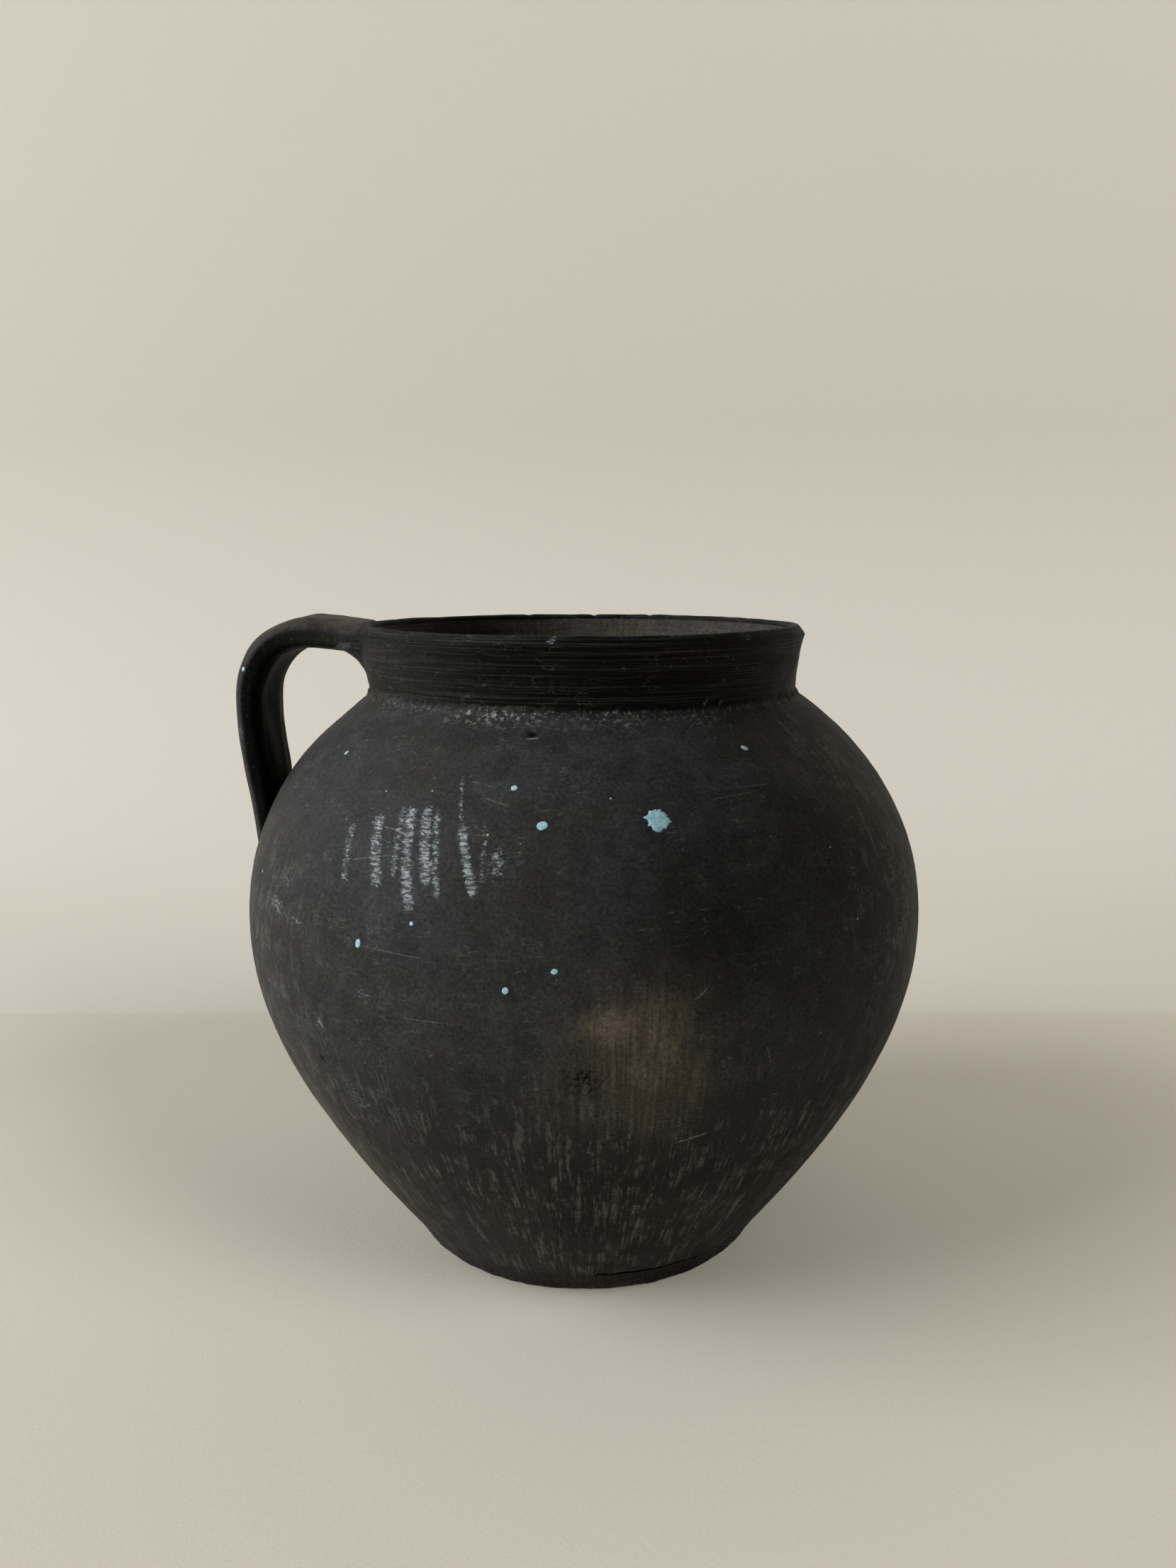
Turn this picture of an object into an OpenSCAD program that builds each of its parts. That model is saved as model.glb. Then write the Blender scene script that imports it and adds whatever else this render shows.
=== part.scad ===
// Black clay jar with one strap handle, built up the way a potter builds it.
// Millimetres, +Z up, origin at the middle of the foot's underside, handle on the -X side.

/* [Overall] */
// Height of the lip's crest above the table
pot_h = 250; // [200:1:300]
// Diameter at the widest part of the belly
belly_d = 272; // [225:1:330]
// Height of the belly's widest part
belly_z = 135; // [112:1:162]

/* [Walls] */
// Thickness of the body wall
wall_t = 6.5; // [5:0.1:8]
// How far each joint between two courses slopes down inwards
scarf_drop = 5; // [4:0.1:6]

/* [Base and foot] */
// Diameter of the foot where it stands on the table
foot_d = 145; // [120:1:152]
// Diameter of the body where it leaves the foot
flank_root_d = 156; // [148:1:180]
// Thickness of the base slab
slab_t = 7.8; // [6.4:0.1:9.4]
// Height of the slab's underside above the table
foot_recess = 1.5; // [1:0.1:2]
// Thickness of the strip laid round the slab's edge
band_t = 4.5; // [3.7:0.1:5.4]
// How far the body overhangs the strip's upper edge
band_ledge = 0.7; // [0.5:0.1:0.9]
// Gap between the strip's two ends
band_seam = 0.4; // [0.3:0.05:0.5]
// Size of the clay pressed into the inside corner
seam_coil = 7; // [5.8:0.1:8.4]

/* [Neck and lip] */
// Diameter where the neck stands on the shoulder
neck_root_d = 170; // [140:1:180]
// Diameter at the top of the neck, under the lip
neck_top_d = 177.8; // [172:0.5:190]
// Height from the neck's root to the lip's crest
neck_h = 26.5; // [22:0.5:32]
// Thickness of the neck
neck_t = 5.5; // [4.5:0.1:6.6]
// Height of the lip
lip_h = 6.5; // [5.8:0.1:7.8]
// How far the lip stands out past the neck
lip_flare = 0.8; // [0.6:0.1:1]
// Width of the bevel round the lip's outside
lip_bevel = 2.2; // [1.8:0.1:2.6]
// Radius of the rounded crest
lip_crest_r = 1.9; // [1.6:0.1:2.2]
// Size of the luting bead round the neck's root
bead = 2.6; // [2.1:0.1:3.1]

/* [Handle] */
// Distance from the jar's axis to the middle of the strap where it hangs
strap_reach = 132; // [118:1:158]
// Height of the strap's top above the lip's crest
strap_rise = 3.1; // [2.5:0.1:3.8]
// How far below the fourth course's upper edge the strap lands
strap_land_drop = 2; // [1.6:0.1:2.4]
// Width of the strap at its root
strap_w = 36; // [30:1:43]
// Width of the strap where it lands
strap_land_w = 34; // [28:1:41]
// Thickness of the strap at its root
strap_t = 12.6; // [10.5:0.1:15.2]
// Thickness of the strap where it hangs
strap_hang_t = 11.5; // [9.5:0.1:13.8]
// How far the clay pressed under the strap's root spreads along the strap and down the neck
root_wad = 13.5; // [11:0.5:16.5]
// Diameter of the clay smeared round the strap's landing
land_wad_d = 44; // [36:1:53]
// How far that clay stands out of the shoulder
land_wad_h = 1.6; // [1.3:0.1:2]

/* [Paint] */
// How far the dried paint stands out of the wall
paint_t = 0.5; // [0.4:0.05:0.6]

/* [Hidden] */
// Where one course of the wall ends and the next begins: 0 at the foot, 1 at the belly's widest, 2 at the neck
COURSE_ENDS = [0, 0.2, 0.5, 1, 1.33, 1.67, 2];
COURSES = len(COURSE_ENDS) - 1;

CLAY = "#2f2e2d";
WORN_CLAY = "#3a3937";
SMOKED_CLAY = "#3b332a";
PAINT = "#8fc3d3";

ROUND = 360;         // facets of everything turned about the jar's axis
STEPS = 9;           // outline steps to each course

// Places that several pieces share
foot_r = foot_d / 2;
root_r = flank_root_d / 2;
floor_z = foot_recess + slab_t;
band_top_r = root_r - band_ledge;
belly_r = belly_d / 2;
neck_r = neck_root_d / 2;
neck_z = pot_h - neck_h;
neck_top_r = neck_top_d / 2;
lip_z = pot_h - lip_h;

// How the body's two curves leave their ends, as shares of their own spans
FLANK_OUT = 0.957;
FLANK_UP = 0.583;
BELLY_DOWN = 0.155;
BELLY_UP = 0.369;
SHOULDER_OUT = 0.71;
SHOULDER_DOWN = 0.279;

// Cubic curve through four control points, and its direction
function bezier(p, t) =
    pow(1 - t, 3) * p[0] + 3 * pow(1 - t, 2) * t * p[1] + 3 * (1 - t) * t * t * p[2] + pow(t, 3) * p[3];
function bezier_way(p, t) =
    pow(1 - t, 2) * (p[1] - p[0]) + 2 * (1 - t) * t * (p[2] - p[1]) + t * t * (p[3] - p[2]);
function mix(a, b, share) = a + (b - a) * share;
function reversed(list) = [for (i = [len(list) - 1:-1:0]) list[i]];
function arc(centre, radius, from, to, steps) =
    [for (i = [0:steps]) let (a = mix(from, to, i / steps)) centre + radius * [cos(a), sin(a)]];

FLANK = [
    [root_r, floor_z],
    [mix(root_r, belly_r, FLANK_OUT), mix(floor_z, belly_z, FLANK_UP)],
    [belly_r, mix(belly_z, floor_z, BELLY_DOWN)],
    [belly_r, belly_z]
];
SHOULDER = [
    [belly_r, belly_z],
    [belly_r, mix(belly_z, neck_z, BELLY_UP)],
    [mix(neck_r, belly_r, SHOULDER_OUT), mix(neck_z, belly_z, SHOULDER_DOWN)],
    [neck_r, neck_z]
];

// The body's outside and inside as [radius, height], where s runs from 0 at the foot to 2 at the neck
function body_curve(s) = s < 1 ? FLANK : SHOULDER;
function body_share(s) = s < 1 ? s : s - 1;
function outside(s) = bezier(body_curve(s), body_share(s));
function unit(v) = v / norm(v);
function outwards(s) = let (w = unit(bezier_way(body_curve(s), body_share(s)))) [w[1], -w[0]];
function inside(s) = outside(s) - wall_t * outwards(s);
// How much of s one millimetre of wall takes up
function per_mm(s) = 1 / norm(3 * bezier_way(body_curve(s), body_share(s)));
// s at an outline step of a course, counted from 0 at its lower end
function course_s(course, step) = mix(COURSE_ENDS[course], COURSE_ENDS[course + 1], step / STEPS);

// The inside of the wall runs on straight from its lowest point down to the slab
inside_foot = inside(0);
inside_way = unit(bezier_way(FLANK, 0));
inside_root_r = inside_foot[0] - (inside_foot[1] - floor_z) * inside_way[0] / inside_way[1];

NECK = [
    [neck_r, neck_z],
    [mix(neck_r, neck_top_r, 0.41), mix(neck_z, lip_z, 0.27)],
    [mix(neck_r, neck_top_r, 0.56), mix(neck_z, lip_z, 0.63)],
    [neck_top_r, lip_z]
];
NECK_STEPS = 8;
neck_outside = [for (i = [0:NECK_STEPS]) bezier(NECK, i / NECK_STEPS)];
neck_inside = [for (p = neck_outside) [p[0] - neck_t, p[1]]];
neck_table = [for (p = neck_outside) [p[1], p[0]]];

// The lip is widest half way up; above that a bevel runs in to the rounded crest
CREST_FROM = 50;     // degrees above level at which the bevel meets the crest
lip_r = neck_top_r + lip_flare;
crest = [lip_r - lip_bevel - lip_crest_r * cos(CREST_FROM), pot_h - lip_crest_r];
lip_outside = concat(
    [[neck_top_r, lip_z], [lip_r, lip_z + lip_h / 2]],
    arc(crest, lip_crest_r, CREST_FROM, 180, 8)
);

body_steps = concat(
    [outside(0)],
    [for (course = [0:COURSES - 1], step = [1:STEPS]) outside(course_s(course, step))]
);

// Everything inside the jar's outer surface, used to shape what is pressed onto it
module jar_envelope(facets = ROUND) {
    rotate_extrude($fn = facets) polygon(concat(
        [[0, 0], [foot_r, 0], [band_top_r, floor_z]],
        body_steps,
        [for (i = [1:NECK_STEPS]) neck_outside[i]],
        [for (i = [1:len(lip_outside) - 1]) lip_outside[i]],
        [[0, crest[1]]]
    ));
}

// The foot flares by this much for each millimetre of its height
foot_slope = (band_top_r - foot_r) / floor_z;

module base_slab() {
    edge_r = foot_r - band_t;
    color(CLAY) rotate_extrude($fn = ROUND) polygon([
        [0, foot_recess],
        [edge_r + foot_slope * foot_recess, foot_recess],
        [edge_r + foot_slope * floor_z, floor_z],
        [0, floor_z]
    ]);
}

// A strip wrapped round the slab's edge; its two ends meet near the front
module foot_band() {
    toe = 0.8;       // worn edge where it stands
    seam_at = -87;   // degrees round from +X
    seam_angle = 360 * band_seam / (PI * foot_d);
    color(CLAY) rotate([0, 0, seam_at]) rotate_extrude(angle = 360 - seam_angle, $fn = ROUND) polygon([
        [foot_r - band_t, 0],
        [foot_r - toe, 0],
        [foot_r + foot_slope * toe, toe],
        [band_top_r, floor_z],
        [band_top_r - band_t, floor_z]
    ]);
}

// Clay pressed into a corner: from `one` to `other` it is a curve drawn towards the corner by `pull`
PRESSED_STEPS = 6;
function pressed(corner, one, other, pull) =
    let (face = [one, mix(one, corner, pull), mix(other, corner, pull), other])
    concat([corner], [for (i = [0:PRESSED_STEPS]) bezier(face, i / PRESSED_STEPS)]);

module base_seam_coil() {
    hollow = 0.55;
    corner = [inside_root_r, floor_z];
    color(CLAY) rotate_extrude($fn = ROUND)
        polygon(pressed(corner, corner + seam_coil * 0.6 * inside_way, corner - [seam_coil, 0], hollow));
}

// On the inside, the joints between courses lie a scarf lower than on the outside
function scarfed(s) = s == 0 || s == 2 ? s : s - scarf_drop * per_mm(s);

// One coil of clay pinched up into a ring of wall
module wall_course(course) {
    outer = [for (step = [0:STEPS]) body_steps[course * STEPS + step]];
    inner_low = scarfed(COURSE_ENDS[course]);
    inner_high = scarfed(COURSE_ENDS[course + 1]);
    inner = [for (step = [0:STEPS]) inside(mix(inner_low, inner_high, step / STEPS))];
    toe = course == 0 ? [[inside_root_r, floor_z]] : [];
    color(COURSE_ENDS[course] < 1 ? WORN_CLAY : CLAY) rotate_extrude($fn = ROUND)
        polygon(concat(outer, reversed(inner), toe));
}

// The neck stands on the top course's upper end, and its inside runs on down to the body's inside
module neck_collar() {
    corner_drop = wall_t * 0.35;
    color(CLAY) rotate_extrude($fn = ROUND) polygon(concat(
        neck_outside,
        reversed([for (i = [1:NECK_STEPS]) neck_inside[i]]),
        [[neck_r - neck_t, neck_z - corner_drop], inside(2)]
    ));
}

module lip_coil() {
    color(CLAY) rotate_extrude($fn = ROUND) polygon(concat(
        lip_outside,
        [[neck_top_r - neck_t, lip_z]]
    ));
}

// The bead lies on the shoulder's last straight step and on the neck's first
module neck_bead() {
    fullness = 0.3;
    corner = [neck_r, neck_z];
    down = unit(body_steps[COURSES * STEPS - 1] - corner);
    up = unit(neck_outside[1] - corner);
    color(CLAY) rotate_extrude($fn = ROUND)
        polygon(pressed(corner, corner + bead * down, corner + bead * up, fullness));
}

// Radius of the body's outside at a height
wall_table = [for (p = body_steps) [p[1], p[0]]];
function wall_r(z) = lookup(z, wall_table);
// How far the wall leans in there, in degrees
function wall_lean(z) = atan2(wall_r(z - 4) - wall_r(z + 4), 8);

// The strap's middle line as [distance from the axis, height], from the neck over and down to the shoulder,
// where it lands just below the joint between the fourth and fifth courses
LAND_COURSE = 4;
strap_land_z = outside(COURSE_ENDS[LAND_COURSE])[1] - strap_land_drop;
strap_top_z = pot_h + strap_rise - strap_t / 2;
strap_peak_r = mix(neck_top_r, strap_reach, 0.45);
strap_hang_z = mix(strap_top_z, strap_land_z, 0.34);
STRAP_BEDDED = 4.5;  // how deep the strap's middle line runs into the jar, where the strap is cut off
STRAP_DIP = 2.8;     // how far the strap dips from its top to the lip
strap_end = [wall_r(strap_land_z) - STRAP_BEDDED, strap_land_z - 3];
STRAP_OVER = [
    [neck_top_r - STRAP_BEDDED, strap_top_z - STRAP_DIP],
    [mix(neck_top_r, strap_reach, 0.1), strap_top_z - STRAP_DIP * 0.43],
    [mix(neck_top_r, strap_reach, 0.3), strap_top_z],
    [strap_peak_r, strap_top_z]
];
STRAP_BEND = [
    [strap_peak_r, strap_top_z],
    [mix(neck_top_r, strap_reach, 0.75), strap_top_z],
    [strap_reach - 0.3, mix(strap_top_z, strap_land_z, 0.14)],
    [strap_reach, strap_hang_z]
];
STRAP_HANG = [
    [strap_reach, strap_hang_z],
    [strap_reach + 0.2, mix(strap_hang_z, strap_land_z, 0.3)],
    [mix(strap_end[0], strap_reach, 0.5), mix(strap_hang_z, strap_land_z, 0.62)],
    strap_end
];
STRAP_RINGS = 13;    // rings to each of the three curves
STRAP_SIDES = 20;
function strap_curve(u) = u < 1 ? STRAP_OVER : u < 2 ? STRAP_BEND : STRAP_HANG;
function strap_at(u) = bezier(strap_curve(u), u - min(floor(u), 2));
function strap_way(u) = unit(bezier_way(strap_curve(u), u - min(floor(u), 2)));
function strap_width(u) = mix(strap_w, strap_land_w, u / 3);
function strap_thickness(u) = mix(strap_t, strap_hang_t, min(max(u - 1, 0), 1));

// A rounded flat section: a superellipse, fuller at its edges than an ellipse
SECTION_POWER = 0.62;
function fuller(v) = sign(v) * pow(abs(v), SECTION_POWER);
function strap_ring(u) = let (
    at = strap_at(u), way = strap_way(u), half_w = strap_width(u) / 2, half_t = strap_thickness(u) / 2
) [
    for (k = [0:STRAP_SIDES - 1]) let (
        a = 360 * k / STRAP_SIDES,
        along = half_w * fuller(cos(a)),
        out = half_t * fuller(sin(a))
    ) [-(at[0] - way[1] * out), along, at[1] + way[0] * out]
];

module strap_solid() {
    count = 3 * STRAP_RINGS;
    points = [for (i = [0:count]) each strap_ring(3 * i / count)];
    sides = [
        for (i = [0:count - 1], k = [0:STRAP_SIDES - 1]) let (
            a = i * STRAP_SIDES + k,
            b = i * STRAP_SIDES + (k + 1) % STRAP_SIDES
        ) each [[a, b, a + STRAP_SIDES], [b, b + STRAP_SIDES, a + STRAP_SIDES]]
    ];
    first = [for (k = [STRAP_SIDES - 1:-1:0]) k];
    last = [for (k = [0:STRAP_SIDES - 1]) count * STRAP_SIDES + k];
    polyhedron(points, concat(sides, [first, last]), convexity = 6);
}

module strap_handle() {
    color(SMOKED_CLAY) difference() {
        strap_solid();
        jar_envelope();
    }
}

// Clay pressed into the corner under the strap's root
module strap_root_wad() {
    under_z = strap_top_z - strap_t / 2;
    corner = [lookup(under_z, neck_table), under_z];
    low = [lookup(under_z - root_wad, neck_table), under_z - root_wad];
    hollow = pressed(corner, low, corner + [root_wad, 0], 0.55);
    inner_r = low[0] - neck_t / 2;
    outline = concat(
        [[inner_r, strap_top_z], [inner_r, low[1]]],
        [for (i = [1:len(hollow) - 1]) hollow[i]],
        [[corner[0] + root_wad, strap_top_z]]
    );
    color(CLAY) difference() {
        rotate([90, 0, 0]) linear_extrude(height = strap_w * 0.8, center = true)
            mirror([1, 0]) polygon(outline);
        strap_solid();
        jar_envelope();
    }
}

// A low dome of clay smeared round the place where the strap lands
module strap_landing_wad() {
    wad_z = strap_land_z + 4;
    flat_r = land_wad_d / 2;
    ball_r = (flat_r * flat_r + land_wad_h * land_wad_h) / (2 * land_wad_h);
    color(CLAY) difference() {
        translate([-wall_r(wad_z), 0, wad_z]) rotate([0, wall_lean(wad_z) - 90, 0]) intersection() {
            translate([0, 0, land_wad_h - ball_r]) sphere(r = ball_r, $fn = ROUND);
            translate([0, 0, -land_wad_h]) cylinder(r = flat_r, h = 3 * land_wad_h, $fn = ROUND);
        }
        strap_solid();
        jar_envelope();
    }
}

// Dried drops of paint: [degrees round from the front towards +X, s on the body's outside, diameter]
DROPS = [
    [12, 1.616, 7.5],
    [-6, 1.605, 3.4],
    [-11.5, 1.725, 2.2],
    [33.5, 1.85, 2.6],
    [-33, 1.17, 2.4],
    [-10.5, 1.08, 2.2],
    [-4, 1.15, 2]
];

module paint_drops() {
    color(PAINT) for (d = DROPS) paint_drop(d[0], outside(d[1]), d[2]);
}

module paint_drop(angle, place, d) {
    difference() {
        rotate([0, 0, angle - 90]) translate([place[0], 0, place[1]]) rotate([0, 90 - wall_lean(place[1]), 0])
            translate([0, 0, -1]) cylinder(d = d, h = 1 + paint_t, $fn = 96);
        jar_envelope(2 * ROUND);
    }
}

base_slab();
foot_band();
base_seam_coil();
for (i = [1:COURSES]) wall_course(i - 1);
neck_collar();
neck_bead();
lip_coil();
strap_handle();
strap_root_wad();
strap_landing_wad();
paint_drops();
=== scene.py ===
"""Looks of the black clay jar: its hand-built skin, its finishes, the light and the camera.

Lengths are millimetres until a mesh is finished. A place round the jar is its turn,
in degrees from the front towards +X, and a place up the jar is its height or, along
the skin, its climb from the foot's upper edge.
"""

import itertools
import logging
import math
from dataclasses import dataclass, field
from enum import Enum

import bmesh
import bpy
import numpy as np
from mathutils import Matrix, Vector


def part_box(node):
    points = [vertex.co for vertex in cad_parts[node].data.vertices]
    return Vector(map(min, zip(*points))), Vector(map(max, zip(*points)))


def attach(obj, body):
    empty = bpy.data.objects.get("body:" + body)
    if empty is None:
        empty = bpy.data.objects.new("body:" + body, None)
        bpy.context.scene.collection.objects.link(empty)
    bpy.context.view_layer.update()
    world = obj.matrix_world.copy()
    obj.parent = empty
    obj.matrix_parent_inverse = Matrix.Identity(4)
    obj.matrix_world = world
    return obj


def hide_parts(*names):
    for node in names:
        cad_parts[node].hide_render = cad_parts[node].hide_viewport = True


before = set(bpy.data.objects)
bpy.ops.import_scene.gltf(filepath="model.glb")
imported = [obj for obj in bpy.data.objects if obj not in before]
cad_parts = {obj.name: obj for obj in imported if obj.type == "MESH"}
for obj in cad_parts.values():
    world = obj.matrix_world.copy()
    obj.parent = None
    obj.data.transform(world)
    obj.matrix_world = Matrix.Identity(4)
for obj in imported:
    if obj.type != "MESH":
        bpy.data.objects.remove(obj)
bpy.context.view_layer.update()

log = logging.getLogger("jar")
MM = 0.001
SEED = 7
TURN_STEPS = 7 * 128
ROW = 1.0
INNER_ROW = 3.2
NECK_ROW = 0.42
SHARP = math.radians(38)
WRAP_R = 136.0
NECK_WRAP_R = 89.0
MARK_NAMES = ("rubbed", "browned_and_warm_light", "scraped", "hatched", "crust", "thrown", "edge", "pitted", "smoked")


class Slot(Enum):
    """The material slots of the record that a piece takes its finish from."""

    BLACK = "black_clay"
    WORN = "worn_clay"
    SMOKED = "smoked_clay"
    PAINT = "paint"


class Side(Enum):
    """Which side of the clay a row of a section lies on."""

    OUTSIDE = 0
    INSIDE = 1
    UNDER = 2


# ---------------------------------------------------------------- small sums


def mix(a: float, b: float, share: float) -> float:
    """The value at a share of the way from a to b."""
    return a + (b - a) * share


def ease(x: np.ndarray, start: float, end: float) -> np.ndarray:
    """A smooth step from 0 at start to 1 at end.

    Args:
        x: The values.
        start: Where the step begins.
        end: Where it is complete; it may be below start.

    Returns:
        The step's height at each value.
    """
    share = np.clip((np.asarray(x, float) - start) / (end - start), 0, 1)
    return share * share * (3 - 2 * share)


def bezier(points: np.ndarray, t: np.ndarray) -> np.ndarray:
    """Points of a cubic curve.

    Args:
        points: Its four control points, shape (4, 2).
        t: Shares of the way along it.

    Returns:
        The points, shape (n, 2).
    """
    t = np.atleast_1d(np.asarray(t, float))[:, None]
    p = np.asarray(points, float)
    return (1 - t) ** 3 * p[0] + 3 * (1 - t) ** 2 * t * p[1] + 3 * (1 - t) * t * t * p[2] + t**3 * p[3]


def bezier_way(points: np.ndarray, t: np.ndarray) -> np.ndarray:
    """Unit directions of a cubic curve.

    Args:
        points: Its four control points, shape (4, 2).
        t: Shares of the way along it.

    Returns:
        The directions, shape (n, 2).
    """
    t = np.atleast_1d(np.asarray(t, float))[:, None]
    p = np.asarray(points, float)
    way = (1 - t) ** 2 * (p[1] - p[0]) + 2 * (1 - t) * t * (p[2] - p[1]) + t * t * (p[3] - p[2])
    return way / np.linalg.norm(way, axis=1)[:, None]


def widest(node: str, z: float) -> float:
    """How far from the axis a CAD node reaches at a height.

    Args:
        node: The node's name.
        z: The height.

    Returns:
        The radius.
    """
    spots = np.array([v.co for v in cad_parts[node].data.vertices]) / MM
    level = spots[np.abs(spots[:, 2] - z) < 0.05]
    return float(np.hypot(level[:, 0], level[:, 1]).max())


def linear(colour: str) -> tuple[float, float, float, float]:
    """Turns an sRGB hex colour to linear.

    Args:
        colour: Six hex digits after a hash.

    Returns:
        Red, green, blue and a full alpha.
    """
    parts = [int(colour[i : i + 2], 16) / 255 for i in (1, 3, 5)]
    return (*(c / 12.92 if c <= 0.04045 else ((c + 0.055) / 1.055) ** 2.4 for c in parts), 1.0)


class Lattice:
    """Smooth seeded noise, from -1 to 1, one cell to a unit."""

    CELLS = 64

    def __init__(self, seed: int) -> None:
        """Draws the lattice's values.

        Args:
            seed: The same seed gives the same clay every time.
        """
        self.values = np.random.default_rng(seed).uniform(-1, 1, (self.CELLS,) * 3)

    def at(self, x: np.ndarray, y: np.ndarray, z: np.ndarray) -> np.ndarray:
        """The noise at some places.

        Args:
            x: First coordinates, in cells.
            y: Second coordinates.
            z: Third coordinates.

        Returns:
            The noise's values.
        """
        cells, shares = [], []
        for axis in np.broadcast_arrays(x, y, z):
            low = np.floor(axis)
            share = axis - low
            cells.append(low.astype(np.int64))
            shares.append(share * share * (3 - 2 * share))
        total = np.zeros(np.shape(shares[0]))
        for corner in itertools.product((0, 1), repeat=3):
            weight = 1.0
            index = []
            for cell, share, up in zip(cells, shares, corner):
                weight = weight * (share if up else 1 - share)
                index.append((cell + up) % self.CELLS)
            total += weight * self.values[tuple(index)]
        return total


# ------------------------------------------------------------ marks on the jar


@dataclass(frozen=True)
class Patch:
    """A soft-edged patch on the skin, with how strongly it shows or how far it stands out."""

    turn: float
    z: float
    half_w: float
    half_h: float
    amount: float
    tilt: float = 0.0

    def on(self, turn: np.ndarray, z: np.ndarray, r: np.ndarray) -> np.ndarray:
        """How much of the patch there is at some places.

        Args:
            turn: Turns, in degrees.
            z: Heights.
            r: Radii.

        Returns:
            Its amount at each place.
        """
        across = np.radians((turn - self.turn + 180) % 360 - 180) * r
        up = z - self.z
        c, s = math.cos(math.radians(self.tilt)), math.sin(math.radians(self.tilt))
        a, b = (across * c + up * s) / self.half_w, (up * c - across * s) / self.half_h
        return self.amount * np.exp(-(a * a + b * b))


@dataclass(frozen=True)
class Stroke:
    """A straight stroke on the skin between two places, each a turn and a height."""

    turn_a: float
    z_a: float
    turn_b: float
    z_b: float
    half_w: float
    amount: float

    def measure(self, turn: np.ndarray, z: np.ndarray, r: np.ndarray) -> tuple[np.ndarray, np.ndarray]:
        """Where some places lie against the stroke.

        Args:
            turn: Turns, in degrees.
            z: Heights.
            r: Radii.

        Returns:
            How far each place is to the stroke's left, in millimetres, and its share of the way along.
        """
        ax = np.radians((turn - self.turn_a + 180) % 360 - 180) * r
        az = z - self.z_a
        bx = np.radians(self.turn_b - self.turn_a) * r
        bz = self.z_b - self.z_a
        length = np.sqrt(bx * bx + bz * bz)
        return (bx * az - bz * ax) / length, (ax * bx + az * bz) / (length * length)

    def on(self, turn: np.ndarray, z: np.ndarray, r: np.ndarray) -> np.ndarray:
        """How much of the stroke there is at some places.

        Args:
            turn: Turns, in degrees.
            z: Heights.
            r: Radii.

        Returns:
            Its amount at each place.
        """
        side, along = self.measure(turn, z, r)
        ends = ease(along, -0.06, 0.12) * ease(along, 1.06, 0.85)
        return self.amount * np.exp(-((side / self.half_w) ** 2)) * ends


# Rubbed columns on the shoulder's left front, where something chalky was dragged down it
RUBBED = (
    Stroke(-39.9, 189, -37.4, 168, 2.1, 0.6),
    Stroke(-35.0, 192, -31.0, 170, 2.3, 1.0),
    Stroke(-30.6, 195.5, -28.4, 173, 1.4, 0.72),
    Stroke(-29.0, 195.5, -24.8, 163, 2.0, 1.05),
    Stroke(-26.1, 196, -22.6, 172, 2.0, 1.0),
    Stroke(-23.9, 195, -20.6, 168, 1.4, 0.72),
    Stroke(-21.6, 205, -18.9, 190, 0.8, 0.62),
    Stroke(-19.2, 192, -15.2, 170, 1.5, 1.15),
    Stroke(-15.2, 193, -14.3, 173, 1.2, 0.5),
    Stroke(-9.3, 190, -9.0, 178, 1.4, 0.34),
    Patch(-12.4, 181, 3.0, 5.0, 0.62),
    Patch(-28.0, 182, 17, 9, 0.26),
    Patch(-54, 155, 7.5, 3.6, 0.55),
    Patch(-47, 153, 5, 2.6, 0.45),
    Patch(-63, 140, 5, 14, 0.3),
    Patch(-84, 158, 9, 6, 0.36),
    Patch(-96, 156, 9, 5, 0.4),
    Patch(3.4, 133.0, 5.4, 4.4, 0.34),
    Patch(-6.2, 248.6, 1.5, 1.3, 1.1),
    Patch(42, 248.8, 2.2, 1.5, 0.6),
    Patch(30.0, 226.0, 2.0, 1.6, 0.5),
    Patch(35.0, 225.6, 1.8, 1.4, 0.5),
    Patch(-42.0, 120, 3.0, 5.0, 0.4),
    Patch(-52, 165, 9, 6, 0.32),
    Patch(60, 205, 9, 16, 0.30),
)
# Where the flame licked the clay brown; the last patch is painted warm bounce light along the right edge
FIRE_AND_RIM_LIGHT = (
    Patch(7.0, 130, 16, 15, 0.62),
    Patch(10.5, 112, 16, 22, 0.62),
    Patch(3.6, 133, 6.0, 4.6, 1.5),
    Patch(-2, 106, 12, 14, 0.3),
    Patch(56, 196, 24, 26, 0.30),
    Patch(-56, 62, 17, 42, 0.5),
    Patch(11, 1, 7, 2.0, 0.4),
    # painted warm bounce light: a tall narrow brown band near the right edge
    Patch(66, 120, 12, 60, 0.32),
)
# Fine pale scratches
SCRATCHES = (
    Stroke(19.0, 200.6, 35.5, 201.2, 0.20, 0.42),
    Stroke(22.0, 198.2, 32.0, 199.4, 0.16, 0.28),
    Stroke(14.0, 86.6, 18.9, 89.1, 0.30, 0.85),
    Stroke(15.0, 139.6, 16.8, 142.9, 0.26, 0.8),
    Stroke(-19.9, 203.7, -14.6, 202.1, 0.2, 0.4),
    Stroke(-16.4, 199.2, -12.0, 197.1, 0.2, 0.4),
    Stroke(-37.4, 176.9, -29.4, 180.6, 0.22, 0.5),
    Stroke(-33.0, 188.1, -29.4, 187.7, 0.22, 0.5),
    Stroke(-32.4, 151.4, -22.0, 150.7, 0.2, 0.36),
    Stroke(-26.0, 130.3, -17.5, 130.6, 0.2, 0.34),
    Stroke(-42.0, 121.6, -41.1, 118.2, 0.42, 1.0),
    Stroke(-42.7, 82.6, -41.2, 79.8, 0.26, 1.0),
    Stroke(-11.6, 216.3, -9.0, 216.6, 0.34, 0.75),
    Stroke(-50, 99, -46, 96, 0.25, 0.4),
    Stroke(26, 120, 27.2, 112, 0.25, 0.35),
)
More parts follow.
